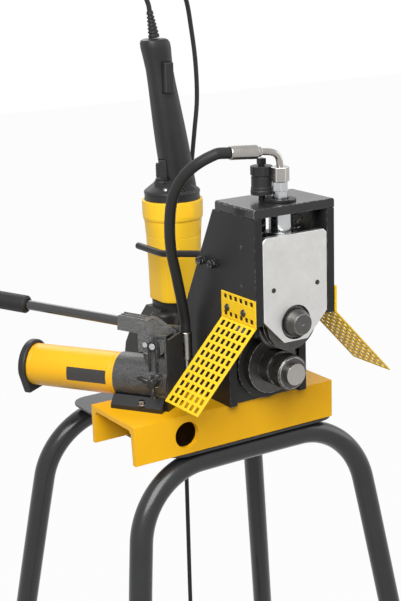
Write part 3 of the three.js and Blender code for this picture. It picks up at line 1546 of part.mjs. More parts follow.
function buildCord() {
  const exit = new THREE.Vector3(leanAt(handle.top), drive.y, handle.top + gap);
  const aim = new THREE.Vector3(-handle.lean, 0, 1).normalize();
  const sleeve = new THREE.LatheGeometry(
    [
      [0, 0],
      [cord.sleeveRadius, 0],
      [cord.sleeveRadius, cord.sleeveRadius / 2],
      [cord.sleeveTip, cord.sleeveLength],
      [0, cord.sleeveLength],
    ].map(([x, y]) => new THREE.Vector2(x, y)),
    small,
  );
  const turnTo = new THREE.Quaternion().setFromUnitVectors(new THREE.Vector3(0, 1, 0), aim);
  sleeve.applyQuaternion(turnTo).translate(exit.x, exit.y, exit.z + cord.sleeveRadius * handle.lean);
  let tip = solid(sleeve);
  if (tip.volume() < 0) tip = solid(flipped(sleeve));
  piece("cord_sleeve", blackRubber, tip);

  const coil = coilStations();
  const clear = leastSelfGap(coil.loops, cord.radius, cord.coilApart);
  console.log("cord_coil least gap to itself", clear.toFixed(2), "mm");
  piece("cord_coil", blackRubber, tube(coil.stations, cord.radius, cord.coilSides));

  const sleeveEnd = exit.clone().addScaledVector(aim, cord.sleeveLength + gap);
  sleeveEnd.z += cord.sleeveRadius * handle.lean;
  const coilStart = coil.stations[0];
  const into = new THREE.Vector3().subVectors(coil.stations[1], coilStart).normalize();
  const end = coilStart.clone().addScaledVector(into, -gap);
  const free = new THREE.CatmullRomCurve3([
    sleeveEnd.clone().addScaledVector(aim, cord.lead),
    ...cordPath.map(point),
    end.clone().addScaledVector(into, -cord.lead),
  ]);
  const stations = [sleeveEnd, ...free.getSpacedPoints(cord.steps), end];
  piece("power_cord", blackRubber, tube(stations, cord.radius, cord.sides));
  let length = 0;
  for (let i = 1; i < stations.length; i += 1) {
    length += stations[i].distanceTo(stations[i - 1]);
  }
  let wound = 0;
  for (let i = 1; i < coil.stations.length; i += 1) {
    wound += coil.stations[i].distanceTo(coil.stations[i - 1]);
  }
  console.log("power cord free", length.toFixed(0), "mm, coil", wound.toFixed(0), "mm");

  const last = coil.stations.length - 1;
  const onward = new THREE.Vector3().subVectors(coil.stations[last], coil.stations[last - 1]).normalize();
  const body = new THREE.LatheGeometry(
    [
      [0, 0],
      [plug.neckRadius, 0],
      [plug.neckRadius, plug.neckLength],
      [plug.radius, plug.neckLength],
      [plug.radius, plug.neckLength + plug.length],
      [0, plug.neckLength + plug.length],
    ].map(([x, y]) => new THREE.Vector2(x, y)),
    medium,
  );
  let shell = solid(body);
  if (shell.volume() < 0) shell = solid(flipped(body));
  const pins = [-1, 1].map((side) => {
    const from = plug.neckLength + plug.length - overrun;
    const run = [from, from + overrun + plug.pinLength];
    return bar("y", plug.pinRadius, run, [(side * plug.pinSpan) / 2, 0, 0], small / 2);
  });
  const made = geometryOf(join(shell, ...pins));
  const plugTurn = new THREE.Quaternion().setFromUnitVectors(new THREE.Vector3(0, 1, 0), onward);
  const seat = coil.stations[last].clone().addScaledVector(onward, gap);
  made.applyQuaternion(plugTurn).translate(seat.x, seat.y, seat.z);
  piece("cord_plug", blackRubber, solid(made));
}

// The coil lies on the floor. It winds in and out again, layer on layer, and its tail comes down to
// the plug.
function coilStations() {
  const { coilLayers, coilLoopsEachLayer, coilPitch, coilInner, coilSteps, radius } = cord;
  const turns = coilLayers * coilLoopsEachLayer;
  const total = Math.round(turns * coilSteps);
  const loops = [];
  const base = floorZ + radius;
  for (let step = 0; step <= total; step += 1) {
    const turn = (step / total) * turns;
    const layer = Math.min(Math.floor(turn / coilLoopsEachLayer), coilLayers - 1);
    const within = turn - layer * coilLoopsEachLayer;
    const inward = layer % 2 === 0 ? coilLoopsEachLayer - within : within;
    const reversal = Math.round(turn / coilLoopsEachLayer);
    const fromReversal = turn - reversal * coilLoopsEachLayer;
    const climbing = reversal > 0 && reversal < coilLayers && Math.abs(fromReversal) < cord.climbTurns;
    const level = climbing ? reversal - 1 / 2 + fromReversal * 2 : layer;
    const angle = cord.coilTurnDegrees * degrees + turn * 2 * Math.PI;
    const reach = coilInner + coilPitch * inward;
    loops.push(
      new THREE.Vector3(
        cord.coilX + reach * Math.cos(angle),
        cord.coilY + reach * Math.sin(angle),
        base + level * coilPitch,
      ),
    );
  }
  const lead = (from, next) => new THREE.Vector3().subVectors(from, next).setZ(0).normalize();
  const startWay = lead(loops[0], loops[1]);
  const head0 = loops[0].clone().addScaledVector(startWay, radius * 2);
  const last = loops[loops.length - 1];
  const endWay = lead(last, loops[loops.length - 2]);
  const landing = last.clone().addScaledVector(endWay, cord.tail);
  landing.z = floorZ + plug.radius;
  const fall = new THREE.CubicBezierCurve3(
    last,
    last.clone().addScaledVector(endWay, cord.tailReach),
    landing.clone().addScaledVector(endWay, -cord.tailReach),
    landing,
  );
  const tailStations = fall.getPoints(cord.tailSteps).slice(1);
  const end = landing.clone().addScaledVector(endWay, radius * 2);
  return { loops, stations: [head0, ...loops, ...tailStations, end] };
}

buildStand();
buildChannel();
const { coverFace } = buildHousing();
buildShaft(coverFace);
buildSlide();
buildTop();
buildHose();
buildGuards();
buildFork();
buildPump();
buildDrive();
buildCord();

// The origin is under the middle of the object, on the floor. The free cord and hose don't count.
const onCord = ["power_cord", "cord_coil", "cord_plug", "cord_sleeve", "hydraulic_hose"];
machine.updateMatrixWorld(true);
const extent = new THREE.Box3();
machine.traverse((item) => {
  if (item.isMesh && !onCord.includes(item.name)) extent.expandByObject(item);
});
const centre = extent.getCenter(new THREE.Vector3());
machine.position.set(-centre.x, -centre.y, -extent.min.z);
console.log("machine frame moved by", -centre.x, -centre.y, -extent.min.z);

const groover = new THREE.Group();
groover.add(machine);
export default groover;
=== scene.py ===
# A pipe roll groover on its stand. Shapes are made in millimetres of the machine's own frame: x 0 is the
# head's middle plane, y 0 its front and z 0 the top of the base channel.
import math

import bmesh
import bpy
from mathutils import Matrix, Vector


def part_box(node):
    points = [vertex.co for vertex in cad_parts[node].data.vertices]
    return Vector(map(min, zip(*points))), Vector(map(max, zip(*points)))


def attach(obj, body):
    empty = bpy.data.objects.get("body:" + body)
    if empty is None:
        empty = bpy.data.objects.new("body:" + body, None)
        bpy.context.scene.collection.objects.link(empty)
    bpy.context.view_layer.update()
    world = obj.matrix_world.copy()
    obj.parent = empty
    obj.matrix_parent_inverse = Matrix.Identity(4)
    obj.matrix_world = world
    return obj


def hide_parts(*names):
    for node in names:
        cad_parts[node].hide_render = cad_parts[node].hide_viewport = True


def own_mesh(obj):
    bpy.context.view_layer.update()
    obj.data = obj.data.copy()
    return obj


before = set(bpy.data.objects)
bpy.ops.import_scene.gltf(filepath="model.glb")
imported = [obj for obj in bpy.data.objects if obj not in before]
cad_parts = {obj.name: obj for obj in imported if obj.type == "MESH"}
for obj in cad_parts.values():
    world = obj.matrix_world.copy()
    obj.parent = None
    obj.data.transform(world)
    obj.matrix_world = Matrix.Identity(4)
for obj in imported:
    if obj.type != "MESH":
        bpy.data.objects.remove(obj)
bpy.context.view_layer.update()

MM = 0.001

# Points closer than this are one, and edges flatter than this are smooth, in degrees.
TOUCH, SMOOTH_ANGLE = 0.002, 34

# Steps round large, middling and small turned bodies.
FINE, MEDIUM, SMALL = 72, 48, 28

top_low, top_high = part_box("top_plate")
ORIGIN = Vector(((top_low.x + top_high.x) / 2, top_low.y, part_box("base_channel")[1].z))
TO_ROW = Matrix.Translation(ORIGIN) @ Matrix.Diagonal((MM, MM, MM, 1))
X, Y, Z = Vector((1, 0, 0)), Vector((0, 1, 0)), Vector((0, 0, 1))
AXES = {"x": (X, Z), "y": (Y, X), "z": (Z, X)}
PLANES = {
    "xy": lambda p, depth: Vector((p[0], p[1], depth)),
    "xz": lambda p, depth: Vector((p[0], depth, p[1])),
    "yz": lambda p, depth: Vector((depth, p[0], p[1])),
}
FLOOR = -ORIGIN.z / MM


class Span:
    """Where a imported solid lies, in the machine's millimetres."""

    def __init__(self, node):
        low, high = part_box(node)
        self.low = (low - ORIGIN) / MM
        self.high = (high - ORIGIN) / MM
        self.mid = (self.low + self.high) / 2
        self.size = self.high - self.low


def row(point):
    """A machine point in the row frame, in metres."""
    return ORIGIN + Vector(point) * MM


def link(name, data):
    """A new object in the scene."""
    made = bpy.data.objects.new(name.replace(" ", "-"), data)
    bpy.context.scene.collection.objects.link(made)
    return made


def arc(centre, radius, start, end, steps):
    """Points of an arc between two angles in degrees, both ends included."""
    points = []
    for step in range(steps + 1):
        angle = math.radians(start + (end - start) * step / steps)
        points.append((centre[0] + radius * math.cos(angle), centre[1] + radius * math.sin(angle)))
    return points


def circle(centre, radius, steps=SMALL):
    """A round outline."""
    return arc(centre, radius, 0, 360 * (1 - 1 / steps), steps - 1)


def rounded_rectangle(centre, half_width, half_height, corner, steps=8):
    x, y = half_width - corner, half_height - corner
    places = [(x, -y, -90), (x, y, 0), (-x, y, 90), (-x, -y, 180)]
    outline = []
    for across, up, start in places:
        outline += arc((centre[0] + across, centre[1] + up), corner, start, start + 90, steps)
    return outline


def hexagon(centre, radius, turn=0):
    """A six-sided outline with corners at a radius."""
    return arc(centre, radius, turn, turn + 300, 5)


def bent(corners, radius, steps):
    """A route through corners that are rounded to one radius."""
    route = [corners[0]]
    for before, corner, after in zip(corners, corners[1:], corners[2:]):
        back, onward = (before - corner).normalized(), (after - corner).normalized()
        half = back.angle(onward) / 2
        centre = corner + (back + onward).normalized() * radius / math.sin(half)
        start = corner + back * radius / math.tan(half) - centre
        turn = back.cross(onward).normalized()
        for step in range(steps + 1):
            angle = -(math.pi - 2 * half) * step / steps
            route.append(centre + Matrix.Rotation(angle, 3, turn) @ start)
    return route + [corners[-1]]


def bezier_line(name, points, radius, resolution, sides):
    """A round line through points, whose handles follow the centripetal curve through them."""
    curve = bpy.data.curves.new(name, "CURVE")
    curve.dimensions = "3D"
    curve.bevel_depth = radius
    curve.bevel_resolution = sides
    curve.use_fill_caps = True
    curve.resolution_u = resolution
    spline = curve.splines.new("BEZIER")
    spline.bezier_points.add(len(points) - 1)
    for i, bead in enumerate(spline.bezier_points):
        here = points[i]
        before = points[i - 1] if i else here * 2 - points[1]
        after = points[i + 1] if i + 1 < len(points) else here * 2 - points[i - 1]
        near, far = (here - before).length ** 0.5, (after - here).length ** 0.5
        slope = (here - before) / near - (after - before) / (near + far) + (after - here) / far
        bead.co = here
        bead.handle_left_type = bead.handle_right_type = "FREE"
        bead.handle_left = here - slope * near / 3
        bead.handle_right = here + slope * far / 3
    return curve


class Form:
    """A mesh in the making, in the machine's millimetres."""

    def __init__(self):
        self.bm = bmesh.new()
        self.wear()

    def wear(self):
        """The layer that marks the faces of rounded edges."""
        layers = self.bm.faces.layers.float
        return layers.get("wear") or layers.new("wear")

    def closed(self, old):
        """Merges what is new at its seams and poles, and turns its faces outwards."""
        fresh = [v for v in self.bm.verts if v not in old]
        bmesh.ops.remove_doubles(self.bm, verts=fresh, dist=TOUCH)
        faces = [f for f in self.bm.faces if f.verts[0] not in old]
        bmesh.ops.recalc_face_normals(self.bm, faces=faces)
        return self

    def spun(self, profile, axis="z", centre=(0, 0, 0), steps=MEDIUM):
        """A turned body from points of radius and place along the axis."""
        along, out = AXES[axis]
        old, foot = set(self.bm.verts), Vector(centre)
        verts = [self.bm.verts.new(foot + along * height + out * radius) for radius, height in profile]
        edges = [self.bm.edges.new(pair) for pair in zip(verts, verts[1:])]
        bmesh.ops.spin(
            self.bm,
            geom=verts + edges,
            cent=foot,
            axis=along,
            angle=math.tau,
            steps=steps,
            use_merge=True,
            use_duplicate=False,
        )
        return self.closed(old)

    def bar(self, axis, radius, low, high, centre=(0, 0, 0), steps=MEDIUM):
        return self.spun([(0, low), (radius, low), (radius, high), (0, high)], axis, centre, steps)

    def ring(self, axis, inner, outer, low, high, centre=(0, 0, 0), steps=MEDIUM):
        """A round bar with a bore."""
        profile = [(inner, low), (outer, low), (outer, high), (inner, high), (inner, low)]
        return self.spun(profile, axis, centre, steps)

    def box(self, x, y, z):
        low, high = Vector((x[0], y[0], z[0])), Vector((x[1], y[1], z[1]))
        place = Matrix.Translation((low + high) / 2) @ Matrix.Diagonal((*(high - low), 1))
        bmesh.ops.create_cube(self.bm, size=1, matrix=place)
        return self

    def prism(self, outline, plane, low, high, holes=()):
        """A straight body on an outline in one of the planes."""
        place, old, edges = PLANES[plane], set(self.bm.verts), []
        for loop in (outline, *holes):
            verts = [self.bm.verts.new(place(p, low)) for p in loop]
            edges += [self.bm.edges.new(pair) for pair in zip(verts, verts[1:] + verts[:1])]
        if holes:
            bmesh.ops.triangle_fill(self.bm, edges=edges, use_beauty=True)
        else:
            bmesh.ops.contextual_create(self.bm, geom=edges)
        faces = [f for f in self.bm.faces if f.verts[0] not in old]
        made = bmesh.ops.extrude_face_region(self.bm, geom=faces)
        moved = [g for g in made["geom"] if isinstance(g, bmesh.types.BMVert)]
        bmesh.ops.translate(self.bm, verts=moved, vec=place((0, 0), high) - place((0, 0), low))
        return self.closed(old)

    def lofted(self, rings):
        """A closed body through rings of points, with as many points in each."""
        old, loops = set(self.bm.verts), []
        for ring in rings:
            verts = [self.bm.verts.new(p) for p in ring]
            loops.append([self.bm.edges.new(pair) for pair in zip(verts, verts[1:] + verts[:1])])
        for first, second in zip(loops, loops[1:]):
            bmesh.ops.bridge_loops(self.bm, edges=first + second)
        bmesh.ops.contextual_create(self.bm, geom=loops[0])
        bmesh.ops.contextual_create(self.bm, geom=loops[-1])
        return self.closed(old)

    def tube(self, points, radius, sides, resolution):
        """A round bar along points."""
        holder = link("tube", bezier_line("tube", points, radius, resolution, sides))
        bpy.context.view_layer.update()
        shown = holder.evaluated_get(bpy.context.evaluated_depsgraph_get())
        mesh = bpy.data.meshes.new_from_object(shown)
        old = set(self.bm.verts)
        self.bm.from_mesh(mesh)
        curve = holder.data
        bpy.data.objects.remove(holder)
        bpy.data.curves.remove(curve)
        bpy.data.meshes.remove(mesh)
        return self.closed(old)

    def copied(self, node):
        """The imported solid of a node, its loose triangles merged and its flat faces made whole."""
        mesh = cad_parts[node].data.copy()
        mesh.transform(TO_ROW.inverted())
        self.bm.from_mesh(mesh)
        bpy.data.meshes.remove(mesh)
        bmesh.ops.remove_doubles(self.bm, verts=self.bm.verts, dist=TOUCH * 5)
        flat = math.radians(0.6)
        bmesh.ops.dissolve_limit(self.bm, angle_limit=flat, verts=self.bm.verts, edges=self.bm.edges)
        self.wear()
        return self

    def rounded(self, width, segments=2, angle=32):
        """Rounds the edges sharper than an angle and marks the faces that this makes."""
        least = math.radians(angle)
        sharp = [e for e in self.bm.edges if e.is_manifold and e.calc_face_angle() >= least]
        made = bmesh.ops.bevel(
            self.bm,
            geom=sharp,
            offset=width,
            offset_type="OFFSET",
            segments=segments,
            profile=0.5,
            affect="EDGES",
            clamp_overlap=True,
            material=-1,
        )
        layer = self.wear()
        for face in made["faces"]:
            face[layer] = 1.0
        return self

    def mesh(self, name="form"):
        made = bpy.data.meshes.new(name)
        self.bm.to_mesh(made)
        return made

    def add(self, *others):
        """Takes in other forms, which are used up."""
        for other in others:
            mesh = other.mesh()
            self.bm.from_mesh(mesh)
            bpy.data.meshes.remove(mesh)
            other.bm.free()
        return self

    def cut(self, *tools):
        """Takes the tools' room out of the body, and uses the tools up."""
        body = link("body", self.mesh())
        knives = []
        for tool in tools:
            knives.append(link("knife", tool.mesh()))
            step = body.modifiers.new("cut", "BOOLEAN")
            step.operation = "DIFFERENCE"
            step.solver = "EXACT"
            step.object = knives[-1]
            tool.bm.free()
        bpy.context.view_layer.update()
        shown = body.evaluated_get(bpy.context.evaluated_depsgraph_get())
        mesh = bpy.data.meshes.new_from_object(shown)
        self.bm.clear()
        self.bm.from_mesh(mesh)
        for holder in (body, *knives):
            data = holder.data
            bpy.data.objects.remove(holder)
            bpy.data.meshes.remove(data)
        bpy.data.meshes.remove(mesh)
        self.wear()
        return self

    def moved(self, place):
        """Moves the form by a vector or a matrix, which may mirror it."""
        if isinstance(place, Matrix):
            bmesh.ops.transform(self.bm, matrix=place, verts=self.bm.verts)
            if place.determinant() < 0:
                bmesh.ops.reverse_faces(self.bm, faces=self.bm.faces)
        else:
            bmesh.ops.translate(self.bm, verts=self.bm.verts, vec=Vector(place))
        return self

    def twin(self):
        """A second form like this one."""
        copy = Form()
        copy.bm.free()
        copy.bm = self.bm.copy()
        return copy

    def piece(self, name, finish, body="frame", replaces=()):
        """The finished object, in metres, with its finish, its body and the nodes it stands for."""
        self.bm.transform(TO_ROW)
        mesh = self.mesh(name)
        self.bm.free()
        mesh.shade_smooth()
        mesh.set_sharp_from_angle(angle=math.radians(SMOOTH_ANGLE))
        mesh.materials.append(finish.material)
        made = link(name, mesh)
        even = made.modifiers.new("even shading", "WEIGHTED_NORMAL")
        even.keep_sharp = True
        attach(made, body)
        if replaces:
            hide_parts(*replaces)
        return made


# Camera

CAMERA_PLACE = (-1023.6, -1393.4, 625.4)
CAMERA_AZIMUTH, CAMERA_ELEVATION, CAMERA_ROLL = -32.11, 15.11, -1.8
PHOTO_WIDTH, PHOTO_HEIGHT, PHOTO_FOCAL = 401, 601, 1349.3
SENSOR, CLIP_NEAR, CLIP_FAR = 36, 0.05, 50


def make_camera():
    angles = (CAMERA_AZIMUTH, CAMERA_ELEVATION, CAMERA_ROLL)
    azimuth, elevation, roll = (math.radians(angle) for angle in angles)
    level = Vector((math.cos(azimuth), math.sin(azimuth), 0))
    onward = Vector((-math.sin(azimuth), math.cos(azimuth), 0))
    ahead = onward * math.cos(elevation) - Z * math.sin(elevation)
    upright = level.cross(ahead)
    right = level * math.cos(roll) + upright * math.sin(roll)
    up = upright * math.cos(roll) - level * math.sin(roll)
    data = bpy.data.cameras.new("camera")
    data.sensor_width = SENSOR
    data.lens = PHOTO_FOCAL * SENSOR / max(PHOTO_WIDTH, PHOTO_HEIGHT)
    data.clip_start, data.clip_end = CLIP_NEAR, CLIP_FAR
    camera = link("camera", data)
    turn = Matrix((right, up, -ahead)).transposed().to_4x4()
    camera.matrix_world = Matrix.Translation(row(CAMERA_PLACE)) @ turn
    bpy.context.scene.camera = camera
    bpy.context.scene.view_settings.view_transform = "Standard"


# Finishes


class Wire:
    """A socket of a finish, which can be reckoned with."""

    def __init__(self, finish, socket):
        self.finish = finish
        self.socket = socket

    def maths(self, operation, first, second):
        return self.finish.node("ShaderNodeMath", {"operation": operation}, {0: first, 1: second})

    def __add__(self, other):
        return self.maths("ADD", self, other)

    def __radd__(self, other):
        return self.maths("ADD", other, self)

    def __sub__(self, other):
        return self.maths("SUBTRACT", self, other)

    def __rsub__(self, other):
        return self.maths("SUBTRACT", other, self)

    def __mul__(self, other):
        return self.maths("MULTIPLY", self, other)

    def __rmul__(self, other):
        return self.maths("MULTIPLY", other, self)

    def eased(self, low, high):
        """0 below low, 1 above high and smooth between."""
        inputs = {"Value": self, "From Min": low, "From Max": high}
        return self.finish.node("ShaderNodeMapRange", {"interpolation_type": "SMOOTHSTEP"}, inputs)


class Graph:
    """The nodes of a material or of the world."""

    def __init__(self, owner):
        owner.use_nodes = True
        self.tree = owner.node_tree
        self.tree.nodes.clear()

    def node(self, kind, settings=None, inputs=None, output=0):
        made = self.tree.nodes.new(kind)
        for key, value in (settings or {}).items():
            setattr(made, key, value)
        for key, value in (inputs or {}).items():
            if isinstance(value, Wire):
                self.tree.links.new(value.socket, made.inputs[key])
            else:
                made.inputs[key].default_value = value
        if not made.outputs:
            return None
        return Wire(self, made.outputs[output])

    def shown(self):
        """1 for what is seen directly, in a mirror or through glass."""
        kinds = ("Is Camera Ray", "Is Glossy Ray", "Is Transmission Ray")
        camera, glossy, through = (self.node("ShaderNodeLightPath", output=kind) for kind in kinds)
        return (camera + glossy + through).eased(0, 1)

    def shone(self, kind, factor, first, second):
        """Mixes two shaders and makes the result the output."""
        mixed = self.node("ShaderNodeMixShader", None, {0: factor, 1: first, 2: second})
        self.node(kind, None, {"Surface": mixed})


class Finish(Graph):
    """A material that stands for one slot of the record. Plain values go on its shader's own sockets."""

    def __init__(self, name, slot, **plain):
        self.material = bpy.data.materials.new(name)
        super().__init__(self.material)
        self.slot = slot
        self.shader = self.tree.nodes.new("ShaderNodeBsdfPrincipled")
        output = self.tree.nodes.new("ShaderNodeOutputMaterial")
        self.tree.links.new(self.shader.outputs["BSDF"], output.inputs["Surface"])
        for socket, value in plain.items():
            self.shader.inputs[socket.replace("_", " ")].default_value = value

    def grain(self, size, detail=2.0, stretch=(1, 1, 1)):
        """Cloudy noise from 0 to 1, with spots of about a size in millimetres that may be stretched."""
        place = self.node("ShaderNodeTexCoord", output="Object")
        place = self.node("ShaderNodeMapping", None, {"Vector": place, "Scale": stretch})
        inputs = {"Vector": place, "Scale": 1 / (size * MM), "Detail": detail}
        return self.node("ShaderNodeTexNoise", None, inputs)

    def worn(self):
        """1 on rounded edges and 0 elsewhere."""
        return self.node("ShaderNodeAttribute", {"attribute_name": "wear"}, output="Fac")

    def reach(self, axis, centre):
        """Distance in metres from an axis through a point of the row frame."""
        keep = tuple(0.0 if name == axis else 1.0 for name in "xyz")
        place = self.node("ShaderNodeTexCoord", output="Object")
        inputs = {0: place, 1: tuple(centre)}
        offset = self.node("ShaderNodeVectorMath", {"operation": "SUBTRACT"}, inputs)
        flat = self.node("ShaderNodeVectorMath", {"operation": "MULTIPLY"}, {0: offset, 1: keep})
        return self.node("ShaderNodeVectorMath", {"operation": "LENGTH"}, {0: flat}, "Value")

    def blend(self, factor, first, second):
        """A colour between two, each a tuple or a wire."""
        full = [c if isinstance(c, Wire) else (*c, 1.0) for c in (first, second)]
        inputs = {0: factor, 6: full[0], 7: full[1]}
        return self.node("ShaderNodeMix", {"data_type": "RGBA"}, inputs, 2)

    def set(self, socket, wire):
        """Leads a wire to a socket of the shader."""
        self.tree.links.new(wire.socket, self.shader.inputs[socket])
        return self

    def bumped(self, height, depth):
        """Raises the surface by a depth in millimetres where the height is 1."""
        inputs = {"Height": height, "Distance": depth * MM, "Strength": 1.0}
        return self.set("Normal", self.node("ShaderNodeBump", None, inputs))


# Places that finishes share with pieces: the shaft's and the upper axle's line, the drive unit's axis
# and the height of the pump's foot.
SHAFT, UPPER = (0, 0, 52), (0, 0, 125.9)
DRIVE_Y = Span("motor_housing").mid.y
FOOT_TOP = 19

# What shows where a finish is rubbed or stained. On turned steel the rubbed colour is partly wear and
# partly a painted highlight on its rims.
RUST_STAIN, RUBBED_STEEL, RUBBED_LATHE_AND_HIGHLIGHT = (0.22, 0.19, 0.16), (0.86, 0.86, 0.86), (0.42, 0.42, 0.43)
RUBBED_CAST, RUBBED_GRIT = (0.36, 0.35, 0.34), (0.22, 0.22, 0.22)


def coat(name, slot, dark, light, bare, rough, peel=0.03, worn=0.35, gloss=0.0, shine=0.5):
    """Sprayed or baked paint with clouds in its colour, orange peel and edges rubbed through in places."""
    made = Finish(name, slot, Coat_Weight=gloss, Coat_Roughness=0.08, Specular_IOR_Level=shine)
    cloud = made.grain(42, 3)
    fine = made.grain(3.2, 2)
    rubbed = made.worn() * made.grain(5, 3).eased(0.46, 0.66) * worn
    made.set("Base Color", made.blend(rubbed, made.blend(cloud, dark, light), bare))
    made.set("Roughness", rough + (cloud - 0.5) * 0.12 + (fine - 0.5) * 0.08 + made.worn() * 0.03)
    return made.bumped(fine, peel)


def steel(name, slot, dark, light, rough, streak=(1, 1, 1), size=1.2, depth=0.01, spots=0.0):
    """Bare or plated metal, brushed along the axis whose stretch is small."""
    made = Finish(name, slot, Metallic=1.0)
    lines = made.grain(size, 3, streak)
    cloud = made.grain(18, 4)
    base = made.blend(lines * 0.6 + cloud * 0.4, dark, light)
    stained = made.blend(made.grain(6, 4).eased(0.58, 0.72) * spots, base, RUST_STAIN)
    made.set("Base Color", made.blend(made.worn() * 0.5, stained, RUBBED_STEEL))
    made.set("Roughness", rough + (lines - 0.5) * 0.18 + (cloud - 0.5) * 0.12)
    return made.bumped(lines, depth)


def turned_steel(name, slot, dark, light, rough, axis, centre):
    """Lathe-turned metal: fine rings round an axis on its faces, and rims lightened in patches, partly as
    wear and partly as a painted highlight.
    """
    made = Finish(name, slot, Metallic=0.85)
    pitch = 0.55 * MM
    reach = made.reach(axis, row(centre))
    wave = made.node("ShaderNodeMath", {"operation": "SINE"}, {0: reach * (math.tau / pitch)})
    cloud = made.grain(9, 4)
    scuffs = made.grain(2.4, 3, (1, 0.35, 1))
    # Rounded rims are lightened in patches: partly wear, partly a painted highlight.
    rubbed = made.worn() * made.grain(4).eased(0.35, 0.6) * 0.7
    made.set("Base Color", made.blend(rubbed, made.blend(cloud, dark, light), RUBBED_LATHE_AND_HIGHLIGHT))
    made.set("Roughness", rough + (cloud - 0.5) * 0.18 + (scuffs - 0.5) * 0.12)
    return made.bumped(wave * 0.5 + scuffs, 0.008)


def casting(name, slot, dark, light, rough, shine):
    """A painted rough casting."""
    made = Finish(name, slot, Specular_IOR_Level=shine)
    pits = made.grain(1.5, 4)
    cloud = made.grain(24, 3)
    rubbed = made.worn() * made.grain(4, 3).eased(0.48, 0.64) * 0.5
    base = made.blend(pits.eased(0.35, 0.7) * 0.7 + cloud * 0.3, dark, light)
    made.set("Base Color", made.blend(rubbed, base, RUBBED_CAST))
    made.set("Roughness", rough + (pits - 0.5) * 0.2)
    return made.bumped(pits + made.grain(4.5, 2) * 0.8, 0.1)


def moulded(name, slot, dark, light, rough, shine):
    """Moulded plastic or rubber with a fine eroded skin."""
    made = Finish(name, slot, Specular_IOR_Level=shine)
    skin = made.grain(0.7, 3)
    cloud = made.grain(30, 3)
    pale = tuple(c * 1.35 + 0.02 for c in light)
    made.set("Base Color", made.blend(made.worn() * 0.25, made.blend(cloud, dark, light), pale))
    made.set("Roughness", rough + (skin - 0.5) * 0.14 + (cloud - 0.5) * 0.08)
    return made.bumped(skin, 0.03)


def speckled(name, slot, dark, light, rough, foot):
    """A gritty grey-black casting, smooth and black below the height of its foot."""
    made = Finish(name, slot)
    pits = made.grain(0.9, 4)
    place = made.node("ShaderNodeTexCoord", output="Object")
    height = made.node("ShaderNodeSeparateXYZ", None, {0: place}, 2)
    above = height.eased(row((0, 0, foot - 1)).z, row((0, 0, foot + 1)).z)
    base = made.blend(pits.eased(0.38, 0.68) * above, dark, light)
    rubbed = made.worn() * made.grain(4, 3).eased(0.42, 0.6) * 0.5
    made.set("Base Color", made.blend(rubbed, base, RUBBED_GRIT))
    made.set("Roughness", rough + (pits - 0.5) * 0.2)
    return made.bumped(pits * above, 0.3)


BLACK = coat(
    "black coat",
    "black_paint",
    (0.009, 0.009, 0.01),
    (0.016, 0.015, 0.015),
    (0.2, 0.195, 0.19),
    0.42,
    worn=0.22,
    shine=0.25,
)
POLISHED = coat(
    "glossy black coat",
    "black_paint",
    (0.01, 0.01, 0.011),
    (0.018, 0.017, 0.017),
    (0.3, 0.29, 0.28),
    0.3,
    worn=0.45,
    gloss=0.35,
    shine=0.25,
)
LEVER = coat(
    "lever coat",
    "black_paint",
    (0.016, 0.016, 0.016),
    (0.028, 0.028, 0.028),
    (0.3, 0.29, 0.28),
    0.26,
    worn=0.3,
    gloss=0.5,
)
LABEL = coat(
    "label film",
    "black_paint",
    (0.02, 0.019, 0.017),
    (0.03, 0.028, 0.025),
    (0.2, 0.19, 0.18),
    0.35,
)
SCREW = coat(
    "black screws",
    "blackened",
    (0.008, 0.008, 0.008),
    (0.015, 0.015, 0.015),
    (0.35, 0.35, 0.35),
    0.3,
    worn=0.9,
)
STAND = coat(
    "stand enamel",
    "stand_paint",
    (0.014, 0.0145, 0.0155),
    (0.022, 0.0225, 0.0235),
    (0.2, 0.2, 0.2),
    0.3,
    worn=0.12,
    gloss=0.25,
    shine=0.3,
)
GOLDEN = coat(
    "golden enamel",
    "yellow_paint",
    (0.86, 0.43, 0.006),
    (0.92, 0.49, 0.008),
    (0.5, 0.42, 0.3),
    0.4,
    worn=0.25,
    gloss=0.05,
    shine=0.2,
)
TANK = coat(
    "tank enamel",
    "yellow_paint",
    (0.78, 0.39, 0.008),
    (0.84, 0.45, 0.012),
    (0.5, 0.42, 0.3),
    0.36,
    peel=0.015,
    worn=0.2,
    gloss=0.06,
    shine=0.3,
)
GUARD = coat(
    "guard enamel",
    "guard_yellow",
    (0.84, 0.52, 0.012),
    (0.9, 0.59, 0.016),
    (0.5, 0.44, 0.3),
    0.4,
    worn=0.3,
    gloss=0.05,
    shine=0.2,
)
ZINC = steel("zinc plate", "zinc", (0.27, 0.26, 0.245), (0.46, 0.44, 0.41), 0.27, spots=0.3)
SILVER = steel(
    "ground plate", "silver_plate", (0.5, 0.5, 0.49), (0.74, 0.73, 0.71), 0.4, (1, 1, 0.12), 0.9
)
CHROME = steel(
    "hard chrome", "hard_chrome", (0.42, 0.43, 0.44), (0.6, 0.61, 0.62), 0.2, (1, 1, 0.1), depth=0.003
)
DARK = steel("dark steel", "blackened", (0.12, 0.12, 0.12), (0.2, 0.2, 0.19), 0.34)
SPRING = steel("spring wire", "spring_steel", (0.1, 0.1, 0.1), (0.2, 0.2, 0.19), 0.36)
BRONZE = steel("bronze", "bronze", (0.45, 0.27, 0.1), (0.6, 0.38, 0.16), 0.35)
ROTOR = steel("rotor laminations", "rotor_steel", (0.3, 0.29, 0.28), (0.42, 0.4, 0.38), 0.4)
ROLLER = turned_steel(
    "blackened steel", "blackened", (0.05, 0.048, 0.046), (0.11, 0.105, 0.1), 0.34, "y", SHAFT
)
AXLE = turned_steel(
    "axle steel", "blackened", (0.07, 0.068, 0.065), (0.13, 0.125, 0.12), 0.36, "y", UPPER
)
IRON = casting("black casting", "casting", (0.009, 0.009, 0.009), (0.022, 0.021, 0.02), 0.45, 0.3)
